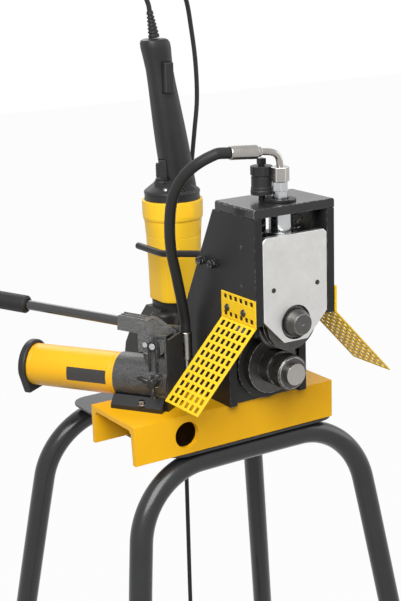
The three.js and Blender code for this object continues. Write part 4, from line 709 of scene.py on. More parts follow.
GRIT = speckled(
    "speckled casting", "casting", (0.008, 0.008, 0.0085), (0.11, 0.11, 0.109), 0.33, FOOT_TOP
)
# The yoke's finish is the speckled casting with paler speckles: painted light that makes its faces look
# lit.
YOKE_PAINTED_LIGHT = speckled("casting with painted light", "casting", (0.02, 0.02, 0.02), (0.21, 0.21, 0.208), 0.34, 0)
MOTOR = moulded("yellow plastic", "yellow_plastic", (0.93, 0.54, 0.02), (0.96, 0.6, 0.03), 0.4, 0.35)
PLASTIC = moulded(
    "black plastic", "black_plastic", (0.012, 0.012, 0.013), (0.021, 0.021, 0.022), 0.44, 0.3
)
RUBBER = moulded("black rubber", "rubber", (0.009, 0.009, 0.009), (0.017, 0.016, 0.016), 0.55, 0.3)


# Cord and hose

# A small gap is left where pieces meet.
LIP = 0.3

# The pump has a frame of its own: s along its barrel towards the tank, w across it and z up.
PUMP_PLACE, PUMP_TURN = (-143.6, 156.8, 0), 123.4
PUMP = Matrix.Translation(PUMP_PLACE) @ Matrix.Rotation(math.radians(PUMP_TURN), 4, "Z")
OUTLET_S, OUTLET_W, OUTLET_TOP = -38, -51.5, 51.7
RISER = PUMP @ Vector((OUTLET_S, OUTLET_W, OUTLET_TOP + LIP))

HOSE_START = Vector((-33.5, 35.6, 353.4))
HOSE_AIM = Vector((-39.6, 5.4, 2.2)).normalized()
HOSE_RADIUS, HOSE_LEAD = 7.5, 15
HOSE_PATH = [
    (-92, 43.5, 355.8),
    (-110, 56, 345),
    (-120.5, 76, 327),
    (-125, 98, 297),
    (-121.5, 115, 258),
    (-113, 128, 218),
    (-99, 139, 176),
    (-86.5, 148, 134),
]
FERRULE_TOP, FERRULE_FOOT = 39.5, 40.0
FERRULE_RADIUS, CRIMP_RADIUS = 9.2, 9.02
CRIMPS, CRIMP_RUN, CRIMP_PITCH = 5, 13, 2.6

HANDLE_TOP, HANDLE_LEAN, HANDLE_FOOT_X, LEAN_START = 485, 0.154, 14.7, 255
SLEEVE_LENGTH, SLEEVE_COLLAR, SLEEVE_RADIUS, SLEEVE_TIP = 38, 4, 8, 4.6
SLEEVE_RIBS, SLEEVE_PITCH, SLEEVE_GROOVE = 6, 5.2, 1.3
CORD_RADIUS, CORD_LEAD = 3.5, 8
CORD_PATH = [
    (-31, 309, 545),
    (-22, 313, 568),
    (2, 320, 580),
    (32, 330, 570),
    (54, 339, 538),
    (66, 345, 492),
    (73, 347, 440),
    (74, 348, 385),
    (68, 348, 340),
    (62, 349, 292),
    (58, 352, 230),
    (56, 359, 160),
    (56, 369, 90),
    (57, 380, 20),
    (58, 388, -50),
    (59, 392, -130),
    (60, 394, -220),
    (60, 395, -330),
    (60, 396, -440),
    (60, 396, -560),
    (59, 394.5, -650),
    (56, 393, -700),
    (42, 392.4, -735),
    (18, 392.2, -749),
]
COIL_CENTRE = (-30, 339)
COIL_INNER, COIL_PITCH, COIL_START = 32, 7.7, 90
COIL_LAYERS, COIL_TURNS, COIL_STEPS = 2, 2.75, 24
COIL_CLIMB = 0.25
TAIL, TAIL_REACH = 52, 17.4
PLUG_RADIUS, PIN_APART = 18.5, 9.5
PLUG_NECK = [(0, 0), (5.4, 0), (7, 2), (7, 12), (9, 15.5), (15.5, 18)]
PLUG_BODY = [(PLUG_RADIUS, 21), (PLUG_RADIUS, 50), (PLUG_RADIUS - 2, 52), (0, 52)]
PLUG_PIN = [(0, 50), (2.4, 50), (2.4, 69), (1.6, 71), (0, 71)]


def bezier_at(points, share):
    """A point of a cubic curve through four control points."""
    a, b, c, d = points
    left = 1 - share
    return a * left**3 + b * 3 * left**2 * share + c * 3 * left * share**2 + d * share**3


def aimed(place, way):
    """The turn and place that carry a body from z onto a way from a place."""
    return Matrix.Translation(place) @ way.to_track_quat("Z", "Y").to_matrix().to_4x4()


def flexible(name, points, radius, resolution, sides):
    """A rubber line through points, and its length in metres."""
    curve = bezier_line(name, [row(p) for p in points], radius * MM, resolution, sides)
    curve.materials.append(RUBBER.material)
    made = link(name, curve)
    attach(made, "frame")
    return made, sum((b - a).length for a, b in zip(points, points[1:])) * MM


def ferrule(length):
    """A crimped sleeve along z, with faint rings where it holds the hose at its far end."""
    profile = [(0, 0), (FERRULE_RADIUS - 1, 0), (FERRULE_RADIUS, 1.2)]
    for crimp in range(CRIMPS):
        place = length - CRIMP_RUN + crimp * CRIMP_PITCH
        profile += [(FERRULE_RADIUS, place), (CRIMP_RADIUS, place + 0.5)]
        profile += [(CRIMP_RADIUS, place + 1.1), (FERRULE_RADIUS, place + 1.6)]
    profile += [(FERRULE_RADIUS, length - 0.8), (FERRULE_RADIUS - 0.4, length), (0, length)]
    return Form().spun(profile).rounded(0.2)


def make_hose():
    upper = ferrule(FERRULE_TOP).moved(aimed(HOSE_START, HOSE_AIM))
    upper.piece("hose ferrule top", ZINC, replaces=["hose_ferrule_top"])
    lower = ferrule(FERRULE_FOOT).moved(aimed(RISER, Z))
    lower.piece("hose ferrule bottom", ZINC, replaces=["hose_ferrule_bottom"])
    start = HOSE_START + HOSE_AIM * (FERRULE_TOP + LIP)
    end = RISER + Z * (FERRULE_FOOT + LIP)
    path = [Vector(p) for p in HOSE_PATH]
    points = [start, start + HOSE_AIM * HOSE_LEAD, *path, end + Z * HOSE_LEAD, end]
    hose, length = flexible("hydraulic hose", points, HOSE_RADIUS, 14, 7)
    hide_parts("hydraulic_hose")


def lean_at(z):
    """Where the leaning handle's middle lies at a height."""
    return HANDLE_FOOT_X - HANDLE_LEAN * max(z - LEAN_START, 0)


def cord_sleeve():
    """The ribbed sleeve along z that keeps the cord from kinking at the handle."""
    taper = (SLEEVE_RADIUS - SLEEVE_TIP) / (SLEEVE_LENGTH - SLEEVE_COLLAR)
    profile = [(0, 0), (SLEEVE_RADIUS, 0), (SLEEVE_RADIUS, SLEEVE_COLLAR)]
    for rib in range(SLEEVE_RIBS):
        place = (rib + 1) * SLEEVE_PITCH
        thick = SLEEVE_RADIUS - taper * (place - SLEEVE_COLLAR)
        thin = thick - SLEEVE_GROOVE
        profile += [(thin, place), (thin, place + 1.6), (thick, place + 2.2), (thick - 0.4, place + 4.4)]
    profile += [(SLEEVE_TIP, SLEEVE_LENGTH), (0, SLEEVE_LENGTH)]
    return Form().spun(profile, steps=32).rounded(0.3)


def coil_points():
    """The coil on the floor, whose inner turns lead up to a second layer, and its tail to the plug."""
    turns = COIL_LAYERS * COIL_TURNS
    total = round(turns * COIL_STEPS)
    loops = []
    for step in range(total + 1):
        turn = step / total * turns
        layer = min(int(turn // COIL_TURNS), COIL_LAYERS - 1)
        within = turn - layer * COIL_TURNS
        inward = COIL_TURNS - within if layer == 0 else within
        since = turn - COIL_TURNS
        level = 0.5 + since / (2 * COIL_CLIMB) if abs(since) < COIL_CLIMB else layer
        angle = math.radians(COIL_START) + turn * math.tau
        reach = COIL_INNER + COIL_PITCH * inward
        x = COIL_CENTRE[0] + reach * math.cos(angle)
        y = COIL_CENTRE[1] + reach * math.sin(angle)
        loops.append(Vector((x, y, FLOOR + CORD_RADIUS + level * COIL_PITCH)))
    flat = Vector((1, 1, 0))
    back = ((loops[0] - loops[1]) * flat).normalized()
    onward = ((loops[-1] - loops[-2]) * flat).normalized()
    head = loops[0] + back * CORD_RADIUS * 2
    last = loops[-1]
    landing = last + onward * TAIL
    landing.z = FLOOR + PLUG_RADIUS
    fall = [last, last + onward * TAIL_REACH, landing - onward * TAIL_REACH, landing]
    tail = [bezier_at(fall, share) for share in (0.25, 0.5, 0.75, 1)]
    return [head, *loops, *tail, landing + onward * CORD_RADIUS * 2], onward


def make_plug(place, way):
    body = Form().spun(PLUG_NECK + PLUG_BODY).rounded(1.0, 3)
    for side in (-1, 1):
        body.add(Form().spun(PLUG_PIN, centre=(side * PIN_APART, 0, 0), steps=16))
    return body.moved(aimed(place, way)).piece("cord plug", RUBBER, replaces=["cord_plug"])


def make_cord():
    sleeve_z = HANDLE_TOP + LIP + SLEEVE_RADIUS * HANDLE_LEAN
    sleeve_foot = Vector((lean_at(HANDLE_TOP), DRIVE_Y, sleeve_z))
    aim = Vector((-HANDLE_LEAN, 0, 1)).normalized()
    sleeve = cord_sleeve().moved(aimed(sleeve_foot, aim))
    sleeve = sleeve.piece("cord sleeve", RUBBER, replaces=["cord_sleeve"])
    coil, onward = coil_points()
    start = sleeve_foot + aim * (SLEEVE_LENGTH + LIP)
    into = (coil[1] - coil[0]).normalized()
    path = [Vector(p) for p in CORD_PATH]
    points = [start, start + aim * CORD_LEAD, *path, coil[0] - into * CORD_LEAD, *coil]
    plug = make_plug(coil[-1] + onward * LIP, onward)
    cord, length = flexible("power cord", points, CORD_RADIUS, 6, 4)
    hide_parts("power_cord", "cord_coil")


# Stand

STAND_X, STAND_TOP = -14, -75.6
CORNER_REACH, STAND_BEND, TUBE_RADIUS, PLATE_CORNER = 179.5, 110, 16, 28
LEG_FOOT = FLOOR + 8 + LIP
SPLAY = math.tan(math.radians(8))

# Each boot runs from below the floor, where it is cut off level, to its rim round the leg.
BOOT_OUTSIDE = [(0, -30), (23, -30), (25, -14), (23.4, 24), (22, 28), (20, 30)]
BOOT_INSIDE = [(TUBE_RADIUS + 0.4, 30), (TUBE_RADIUS + 0.4, 0.4), (0, 0.4)]
BOOT_GROOVES, GROOVE_WIDE, GROOVE_FLOOR = (6, 12, 18), 1.4, 23.1


def make_stand():
    plate = Span("stand_plate")
    half_wide, half_deep = plate.size.x / 2, plate.size.y / 2
    outline = rounded_rectangle((plate.mid.x, plate.mid.y), half_wide, half_deep, PLATE_CORNER)
    sheet = Form().prism(outline, "xy", plate.low.z, plate.high.z)
    sheet.rounded(1.0).piece("stand plate", STAND, replaces=["stand_plate"])
    front, rear = plate.low.y + TUBE_RADIUS, plate.high.y - TUBE_RADIUS
    for end, y, way in (("front", front, -1), ("rear", rear, 1)):
        legs = []
        for side in (-1, 1):
            corner = Vector((STAND_X + side * CORNER_REACH, y, STAND_TOP))
            leg = Vector((side * SPLAY, way * SPLAY, -1))
            legs.append((corner, leg, corner + leg * (corner.z - LEG_FOOT)))
        route = [legs[0][2], legs[0][0], legs[1][0], legs[1][2]]
        tube = Form().tube(bent(route, STAND_BEND, 14), TUBE_RADIUS, 10, 6)
        tube.piece("stand tube " + end, STAND, replaces=["stand_frame_" + end])
        for side, (corner, leg, foot) in zip(("left", "right"), legs):
            make_foot(end + "_" + side, foot, leg)


def make_foot(name, foot, leg):
    """A rubber boot round the end of a leg, flat on the floor."""
    boot = Form().spun(BOOT_OUTSIDE + BOOT_INSIDE, steps=40)
    for height in BOOT_GROOVES:
        boot.cut(Form().ring("z", GROOVE_FLOOR, 27, height, height + GROOVE_WIDE, steps=40))
    boot.moved(aimed(foot, -leg.normalized()))
    made = bmesh.ops.bisect_plane(
        boot.bm,
        geom=boot.bm.verts[:] + boot.bm.edges[:] + boot.bm.faces[:],
        plane_co=(0, 0, FLOOR),
        plane_no=(0, 0, 1),
        clear_inner=True,
    )
    rim = [g for g in made["geom_cut"] if isinstance(g, bmesh.types.BMEdge)]
    bmesh.ops.contextual_create(boot.bm, geom=rim)
    bmesh.ops.recalc_face_normals(boot.bm, faces=boot.bm.faces)
    boot.rounded(0.8).piece("foot " + name.replace("_", " "), RUBBER, replaces=["foot_" + name])


# Base channel and head

CHANNEL_DROP, CHANNEL_WEB = 55, 7
FLANGE_ROOT, FLANGE_TIP, FLANGE_FILLET = 9.6, 6.8, 8
HOLE_RADIUS, HOLE_PLACE = 18.5, (-128.8, 0, -27.9)

# Screws lie at y and z of the head's sides. Their sizes are radius, height and the socket's radius.
HEAD_HALF = 65
SIDE_BOLTS, SIDE_BOLT = [(95.5, 198), (124.5, 197.9)], (5.6, 9.5, 3.1)
SIDE_SCREWS, SIDE_SCREW = [(30.5, 231.6), (31.4, 180.1)], (2.7, 0.5, 1.3)
SOCKET_FLOOR = 0.45

BEARING_BORE, BEARING_RADIUS = 17.5, 30
SHIELD_INNER, SHIELD_OUTER, SHIELD_DEPTH = 21.5, 26, 0.6

# The drive roller has a groove between its two bands and a stop flange at its back.
DRIVE_BORE, DRIVE_CORE, DRIVE_BAND, GROOVE_HALF = 12.3, 21.5, 23.6, 4.5
STOP_RADIUS, STOP_THICK = 40, 10
KNURL_RADIUS, KNURL_DEPTH, KNURL_COUNT = 24.5, 0.9, 76
UPPER_BORE, UPPER_FACE, UPPER_BEAD, BEAD_HALF = 22.5, 41, 43.5, 3.6
UPPER_SHOULDER, SHOULDER_DEPTH = 40.5, 9

AXLE_TIP, AXLE_SEAT = -15.6, 4
AXLE_NOSE = [(0, 1.2), (1.4, 0), (14, 0), (14.6, 0.7), (16.6, 5), (18.3, 10), (19.3, 15)]
AXLE_RADIUS, AXLE_SHANK = 19.5, 22
SLIDE_SCREW_X, SLIDE_SCREW_Z, SLIDE_SCREW = 35.7, 175, (3.4, 0.35, 1.6)

ROD_Y = 31.8
ROD_BORE, ROD_RADIUS = 4, 16
PISTON_BOTTOM, PISTON_TOP = 208, 224
GLAND_BORE, GLAND_SKIRT, GLAND_HEAD, GLAND_HEAD_HIGH = 16.4, 18.1, 21, 4

DISC_STEPS, DISC_INNER, DISC_OUTER, DISC_BASE, DISC_RISE = 6, 12, 20.9, 2, 0.45
KNOB_X, KNOB_Y, KNOB_BORE = -14, 54, 4.8
KNOB_RADIUS, KNOB_TEETH, TOOTH_DEPTH, KNOB_SHOULDER = 15.1, 32, 0.7, 319
KNOB_BARREL = [(14.6, 303), (14, 303.4), (14, 317), (12.6, 317.5), (12.6, KNOB_SHOULDER)]
SPINDLE_RADIUS, SQUARE_HALF, SQUARE_START = 4.5, 4.6, 333
PORT_BORE, PORT_RADIUS, PORT_HEX, PORT_HEX_START = 3, 9.5, 11, 299
NUT_BOTTOM, NUT_TOP, NUT_RADIUS, NUT_BORE = 311.4, 330.8, 12.6, 4.9
ELBOW_TOP, ELBOW_RADIUS, COLLAR_RADIUS, COLLAR_LENGTH = 352.9, 4.6, 6.6, 5


def dressed(node, finish, width, segments=2, angle=32, body="frame"):
    """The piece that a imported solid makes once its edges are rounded."""
    form = Form().copied(node).rounded(width, segments, angle)
    return form.piece(node.replace("_", " "), finish, body, [node])


def make_channel():
    span = Span("base_channel")
    front, back = span.low.y, span.high.y
    right = [(back, 0), (back, -CHANNEL_DROP), (back - FLANGE_TIP, -CHANNEL_DROP)]
    bend = -CHANNEL_WEB - FLANGE_FILLET
    right += arc((back - FLANGE_ROOT - FLANGE_FILLET, bend), FLANGE_FILLET, 0, 90, 6)
    left = arc((front + FLANGE_ROOT + FLANGE_FILLET, bend), FLANGE_FILLET, 90, 180, 6)
    left += [(front + FLANGE_TIP, -CHANNEL_DROP), (front, -CHANNEL_DROP), (front, 0)]
    beam = Form().prism(right + left, "yz", span.low.x, span.high.x)
    hole = Form().bar("y", HOLE_RADIUS, front - 5, front + 16, HOLE_PLACE, 56)
    beam.cut(hole).rounded(0.9, 2, 40).piece("base channel", GOLDEN, replaces=["base_channel"])


def socket_bolt(radius, height, socket):
    """The head of a socket screw along z, whole up to the floor of its socket."""
    outline, floor = circle((0, 0), radius, 40), height * SOCKET_FLOOR
    head = Form().prism(outline, "xy", floor, height, [hexagon((0, 0), socket)])
    head.add(Form().prism(outline, "xy", 0, floor))
    return head.rounded(radius * 0.09, 2, 50)


def make_head():
    for side, way in (("left", -1), ("right", 1)):
        dressed("side_plate_" + side, BLACK, 1.4, 3)
        dressed("slide_guide_" + side, BLACK, 0.6)
        bolts = Form()
        for places, size in ((SIDE_BOLTS, SIDE_BOLT), (SIDE_SCREWS, SIDE_SCREW)):
            for y, z in places:
                bolts.add(socket_bolt(*size).moved(aimed((way * HEAD_HALF, y, z), X * way)))
        bolts.piece("side bolts " + side, SCREW)
    dressed("top_plate", POLISHED, 1.3, 3, 40)
    dressed("bearing_block", IRON, 0.9, 2, 40)
    for end in ("front", "rear"):
        make_bearing(end)


def make_bearing(end):
    """A ball bearing with its shields set in between the two races."""
    span = Span("bearing_" + end)
    low, high = span.low.y, span.high.y
    low_shield, high_shield = low + SHIELD_DEPTH, high - SHIELD_DEPTH
    profile = [
        (BEARING_BORE, low),
        (SHIELD_INNER, low),
        (SHIELD_INNER, low_shield),
        (SHIELD_OUTER, low_shield),
        (SHIELD_OUTER, low),
        (BEARING_RADIUS, low),
        (BEARING_RADIUS, high),
        (SHIELD_OUTER, high),
        (SHIELD_OUTER, high_shield),
        (SHIELD_INNER, high_shield),
        (SHIELD_INNER, high),
        (BEARING_BORE, high),
        (BEARING_BORE, low),
    ]
    race = Form().spun(profile, "y", SHAFT, FINE).rounded(0.3)
    race.piece("bearing " + end, ZINC, replaces=["bearing_" + end])


def knurled(radius, depth, count, run, centre):
    """A ring of fine ridges along y on a roller's face."""
    outline = []
    for ridge in range(count * 2):
        angle = math.pi * ridge / count
        reach = radius - (ridge % 2) * depth
        outline.append((centre[0] + reach * math.cos(angle), centre[1] + reach * math.sin(angle)))
    return Form().prism(outline, "xz", *run)


def make_drive_roller():
    span = Span("drive_roller")
    front, back = span.low.y, span.high.y
    stop = back - STOP_THICK
    middle = (front + stop) / 2
    near, far = middle - GROOVE_HALF, middle + GROOVE_HALF
    profile = [
        (DRIVE_BORE, front),
        (DRIVE_CORE, front),
        (DRIVE_BAND, front + 2.2),
        (DRIVE_BAND, near),
        (DRIVE_CORE, near),
        (DRIVE_CORE, far),
        (DRIVE_BAND, far),
        (DRIVE_BAND, stop),
        (STOP_RADIUS, stop),
        (STOP_RADIUS, back),
        (DRIVE_BORE, back),
        (DRIVE_BORE, front),
    ]
    roller = Form().spun(profile, "y", SHAFT, FINE).rounded(0.7, 2)
    for run in ((front + 2.4, near - 0.2), (far + 0.2, stop + 0.2)):
        ridges = knurled(KNURL_RADIUS, KNURL_DEPTH, KNURL_COUNT, run, (SHAFT[0], SHAFT[2]))
        ridges.cut(Form().bar("y", DRIVE_BORE, front - 5, back + 5, SHAFT))
        roller.add(ridges)
    roller.piece("drive roller", ROLLER, "drive_line", ["drive_roller"])


def make_upper_roller():
    """The roller whose bead presses the groove."""
    span = Span("upper_roller")
    front, back = span.low.y, span.high.y
    middle = (front + back) / 2
    profile = [
        (UPPER_BORE, front),
        (UPPER_SHOULDER, front),
        (UPPER_SHOULDER, front + SHOULDER_DEPTH),
        (UPPER_FACE, front + SHOULDER_DEPTH),
        (UPPER_FACE, middle - GROOVE_HALF),
        (UPPER_BEAD, middle - BEAD_HALF),
        (UPPER_BEAD, middle + BEAD_HALF),
        (UPPER_FACE, middle + GROOVE_HALF),
        (UPPER_FACE, back),
        (UPPER_BORE, back),
        (UPPER_BORE, front),
    ]
    roller = Form().spun(profile, "y", UPPER, FINE).rounded(0.6, 2)
    roller.piece("upper roller", ROLLER, "upper_roller", ["upper_roller"])


def make_rollers():
    make_drive_roller()
    make_upper_roller()
    dressed("drive_shaft", ZINC, 0.6, 2, 40, "drive_line")


def make_slide():
    dressed("slide_plate", SILVER, 0.8, 2, 30, "slide")
    screws = Form()
    for way in (-1, 1):
        place = (way * SLIDE_SCREW_X, 0, SLIDE_SCREW_Z)
        screws.add(socket_bolt(*SLIDE_SCREW).moved(aimed(place, -Y)))
    screws.piece("slide plate screws", SCREW, "slide")
    dressed("pressure_slide", BLACK, 0.8, 2, 40, "slide")
    back = Span("upper_axle").high.y
    profile = [(radius, AXLE_TIP + depth) for radius, depth in AXLE_NOSE]
    profile += [(AXLE_RADIUS, AXLE_SEAT), (AXLE_SHANK, AXLE_SEAT), (AXLE_SHANK, back), (0, back)]
    # The axle's rounded rims take turned steel's lightened rim colour, which is partly a painted
    # highlight.
    axle = Form().spun(profile, "y", UPPER, FINE).rounded(0.35, 2, 30)
    axle.piece("upper axle", AXLE, "slide", ["upper_axle"])
    make_piston_rod()


def make_piston_rod():
    """The fixed rod with its piston, and the gland nut that closes the slide's bore round it."""
    span, gland = Span("piston_rod"), Span("gland_nut")
    piston, top = span.size.x / 2, span.high.z
    profile = [(ROD_BORE, PISTON_BOTTOM), (piston, PISTON_BOTTOM), (piston, PISTON_TOP)]
    profile += [(ROD_RADIUS, PISTON_TOP), (ROD_RADIUS, top), (ROD_BORE, top), (ROD_BORE, PISTON_BOTTOM)]
    rod = Form().spun(profile, "z", (0, ROD_Y, 0), FINE).rounded(0.5)
    rod.piece("piston rod", CHROME, replaces=["piston_rod"])
    low, high = gland.low.z, gland.high.z
    neck = high - GLAND_HEAD_HIGH
    profile = [(GLAND_BORE, low), (GLAND_SKIRT, low), (GLAND_SKIRT, neck), (GLAND_HEAD, neck)]
    profile += [(GLAND_HEAD, high), (GLAND_BORE, high), (GLAND_BORE, low)]
    nut = Form().spun(profile, "z", (0, ROD_Y, 0), FINE).rounded(0.4)
    nut.piece("gland nut", DARK, "slide", ["gland_nut"])


def make_top():
    make_step_disc()
    make_depth_stop()
    make_port()


def make_step_disc():
    """The turning disc whose steps limit the depth of the groove, its highest under the knob."""
    low, centre, wide = Span("step_disc").low.z, (0, ROD_Y), 360 / DISC_STEPS
    toward = math.degrees(math.atan2(KNOB_Y - ROD_Y, KNOB_X))
    steps = Form()
    for count in range(DISC_STEPS):
        start = toward - wide / 2 + wide * count
        end = start + wide
        outline = arc(centre, DISC_OUTER, start, end, 12) + arc(centre, DISC_INNER, end, start, 12)
        steps.prism(outline, "xy", low, low + DISC_BASE + DISC_RISE * (DISC_STEPS - 1 - count))
    steps.rounded(0.2, 1, 50).piece("step disc", BLACK, "step_disc", ["step_disc"])


def make_depth_stop():
    place, across = (KNOB_X, KNOB_Y, 0), (KNOB_X, KNOB_Y)
    spindle = Span("depth_spindle")
    stem = Form().bar("z", SPINDLE_RADIUS, spindle.low.z, SQUARE_START, place)
    sides = [(middle - SQUARE_HALF, middle + SQUARE_HALF) for middle in across]
    square = Form().box(*sides, (SQUARE_START, spindle.high.z)).rounded(0.5)
    stem.rounded(0.4).add(square).piece("depth spindle", BLACK, "slide", ["depth_spindle"])
    knob = Span("depth_knob")
    low = knob.low.z
    profile = [(KNOB_BORE, low), (KNOB_RADIUS, low), (KNOB_RADIUS, low + 5.4), (14.6, low + 5.9)]
    profile += [*KNOB_BARREL, (KNOB_BORE, KNOB_SHOULDER), (KNOB_BORE, low)]
    body = Form().spun(profile, "z", place, FINE).rounded(0.5)
    outline = []
    for tooth in range(KNOB_TEETH):
        angle = math.tau * (tooth + 0.25) / KNOB_TEETH
        reach = KNOB_RADIUS - (tooth % 2) * TOOTH_DEPTH
        outline.append((KNOB_X + reach * math.cos(angle), KNOB_Y + reach * math.sin(angle)))
    ring = Form().prism(outline, "xy", KNOB_SHOULDER, knob.high.z, [circle(across, KNOB_BORE)])
    body.add(ring.rounded(0.5, 2, 60)).piece("depth knob", PLASTIC, "depth_knob", ["depth_knob"])


def make_port():
    """The oil port on the top plate, the hose nut on it and the bent tube to the hose."""
    middle, place = (0, ROD_Y), (0, ROD_Y, 0)
    adapter = Span("port_adapter")
    barrel = Form().ring("z", PORT_BORE, PORT_RADIUS, adapter.low.z, PORT_HEX_START, place)
    bore = [circle(middle, PORT_BORE)]
    hexed = Form().prism(hexagon(middle, PORT_HEX), "xy", PORT_HEX_START, adapter.high.z, bore)
    barrel.add(hexed.rounded(0.5)).piece("port adapter", CHROME, replaces=["port_adapter"])
    bore = [circle(middle, NUT_BORE)]
    nut = Form().prism(hexagon(middle, NUT_RADIUS, 30), "xy", NUT_BOTTOM, NUT_TOP, bore)
    nut.rounded(0.8, 3, 50).piece("hose nut", ZINC, replaces=["hose_nut"])
    rise, bend = Vector((*middle, NUT_TOP)), Vector((*middle, ELBOW_TOP))
    bend_end = HOSE_START - HOSE_AIM * COLLAR_LENGTH
    curve = [rise, rise.lerp(bend, 0.8), bend_end - HOSE_AIM * (bend - rise).length, bend_end]
    sweep = [bezier_at(curve, step / 10) for step in range(11)]
    route = [Vector((*middle, NUT_BOTTOM + LIP)), *sweep, HOSE_START - HOSE_AIM * LIP]
    elbow = Form().tube(route, ELBOW_RADIUS, 8, 3)
    collar = Form().bar("z", COLLAR_RADIUS, 0, COLLAR_LENGTH - LIP).rounded(0.6)
    elbow.add(collar.moved(aimed(bend_end, HOSE_AIM)))
    elbow.piece("hose elbow", ZINC, replaces=["hose_elbow"])


# Guards and torque fork

GUARD_WALL, GUARD_THICK, GUARD_FRONT, GUARD_DEPTH = HEAD_HALF + LIP, 2, -2, 80
GUARD_TOP, GUARD_BEND = 165.6, 129.2
GUARD_REACH, GUARD_DROP = 94.2, 100.9
SLOT_PITCH, SLOT_COLUMNS, SLOT_ROWS, SLOT_HALF, SLOT_CORNER = 12.25, 6, 11, (3.9, 4.1), 0.9
TAB_ROWS, TAB_HALF, TAB_CORNER = (159.3, 135.9), (3.9, 3.2), 0.7
TAB_SCREWS, TAB_SCREW_Z, TAB_SCREW_HOLE = (25.6, 63.6), 144.3, 3.2
TAB_SCREW = [(0, 2.6), (2.5, 2.6), (4.2, 1.9), (5.2, 0.4), (5.2, 0)]

FORK_HALF, FORK_FRONT, FORK_BACK, FORK_LOW, FORK_HIGH = 51.95, 96, 150, 188.8, 198.8
PRONG_RADIUS, PRONG_BEND, PRONG_INSET, PRONG_OUT, PRONG_Z = 5, 40, 14, 64, 186.5
PRONG_START, PRONG_TURN, PRONG_WIDE = 140, 172, 236


def make_guards():
    outside = GUARD_WALL + GUARD_THICK
    back = GUARD_FRONT + GUARD_DEPTH
    length = math.hypot(GUARD_REACH, GUARD_DROP)
    fall = math.atan2(GUARD_DROP, GUARD_REACH)
    columns = [(count - (SLOT_COLUMNS - 1) / 2) * SLOT_PITCH for count in range(SLOT_COLUMNS)]
    rows = [(count - (SLOT_ROWS - 1) / 2) * SLOT_PITCH for count in range(SLOT_ROWS)]
    middle = GUARD_FRONT + GUARD_DEPTH / 2
    slots, holes = [], [circle((y, TAB_SCREW_Z), TAB_SCREW_HOLE) for y in TAB_SCREWS]
    for across in columns:
        for down in rows:
            slot = (middle + across, length / 2 + down)
            slots.append(rounded_rectangle(slot, *SLOT_HALF, SLOT_CORNER, 2))
        for height in TAB_ROWS:
            holes.append(rounded_rectangle((middle + across, height), *TAB_HALF, TAB_CORNER, 2))
    sheet = [(GUARD_FRONT, 0), (back, 0), (back, length), (GUARD_FRONT, length)]
    slope = Form().prism(sheet, "yz", 0, GUARD_THICK, slots).rounded(0.35, 1, 50)
    slope.moved(Matrix.Rotation(math.pi / 2 + fall, 4, "Y")).moved((outside, 0, GUARD_BEND))
    panel = [(GUARD_FRONT, GUARD_BEND), (back, GUARD_BEND), (back, GUARD_TOP), (GUARD_FRONT, GUARD_TOP)]
    tab = Form().prism(panel, "yz", GUARD_WALL, outside, holes).rounded(0.35, 1, 50)
    end = 180 + math.degrees(math.pi / 2 - fall) + 0.01
    bend = arc((outside, GUARD_BEND), GUARD_THICK, 180, end, 6)
    seam = Form().prism(bend + [(outside, GUARD_BEND)], "xz", GUARD_FRONT, back)
    slope.add(tab, seam)
    screws = Form()
    for y in TAB_SCREWS:
        screws.spun([(r, outside + x) for r, x in TAB_SCREW], "x", (0, y, TAB_SCREW_Z), 24)
    mirror = Matrix.Diagonal((-1, 1, 1, 1))
    left, left_screws = slope.twin().moved(mirror), screws.twin().moved(mirror)
    slope.piece("guard right", GUARD, replaces=["guard_right"])
    left.piece("guard left", GUARD, replaces=["guard_left"])
    screws.piece("guard screws right", SCREW)
    left_screws.piece("guard screws left", SCREW)


def make_fork():
    """The bar on the head whose two prongs keep the drive unit from turning."""
    bar_z, end = (FORK_LOW + FORK_HIGH) / 2, Span("torque_fork").high.y - 1
    fork = Form().box((-FORK_HALF, FORK_HALF), (FORK_FRONT, FORK_BACK), (FORK_LOW, FORK_HIGH))
    fork.rounded(1.0)
    for way in (-1, 1):
        near, out = way * (FORK_HALF - PRONG_INSET), way * PRONG_OUT
        route = [(near, PRONG_START, bar_z), (near, PRONG_TURN, bar_z)]
        route += [(out, PRONG_WIDE, PRONG_Z), (out, end, PRONG_Z)]
        prong = bent([Vector(p) for p in route], PRONG_BEND, 8)
        fork.add(Form().tube(prong, PRONG_RADIUS, 6, 4))
    fork.piece("torque fork", BLACK, replaces=["torque_fork"])


# Pump

BARREL_Z = 38.5
TANK_START, TANK_END, TANK_INNER, TANK_OUTER, SEAM_DEPTH = 37.6, 181.7, 27.5, 30, 0.5
CAP_FRONT, CAP_BACK, CAP_RADIUS = 175.5, 186.5, 35.5
CAP_FOOT, CAP_HIP, CAP_DISH_DEPTH = 21.4, 10, 1.6
CAP_DISH = [(0, 0), (24, 0), (26.5, 2), (26.5, 6), (0, 6)]
LABEL_RUN, LABEL_RISE = (48.5, 110), (-15, 22)
FULCRUM_S, PISTON_PIN_S, PIN_Z, PIN_RADIUS, PIN_HEAD = -25.5, -12.5, 92, 3, 1.2
LEVER_Z, LEVER_TILT, LEVER_RADIUS, LEVER_RUN = 112.1, 4.3, 7, (12, 292)
GRIP_OUTSIDE = [(7.3, 184), (10.3, 184), (12.8, 186.5), (12.8, 297), (11.6, 300.5), (7.8, 302)]
GRIP_INSIDE = [(0, 302), (0, 292.3), (7.3, 292.3), (7.3, 184)]
RIDGE_RISE, RIDGE_HALF, RIDGE_PLACES, RIDGE_END = 1.5, 1.1, (-8.4, 0, 8.4), 34
RIDGE_LINE = [(2, 122.1), (-2, 121), (-10, 119.5), (-18, 115.5), (-25, 110.5)]
EAR_OUTSIDE, PRONG_THICK, COLLAR_INNER, COLLAR_OUTER = 26.7, 2.4, 5, 7.4
PRONG_SHAPE = [(2.8, 87), (7.2, 90), (7.2, 64), (6.2, 55), (3.6, 60)]
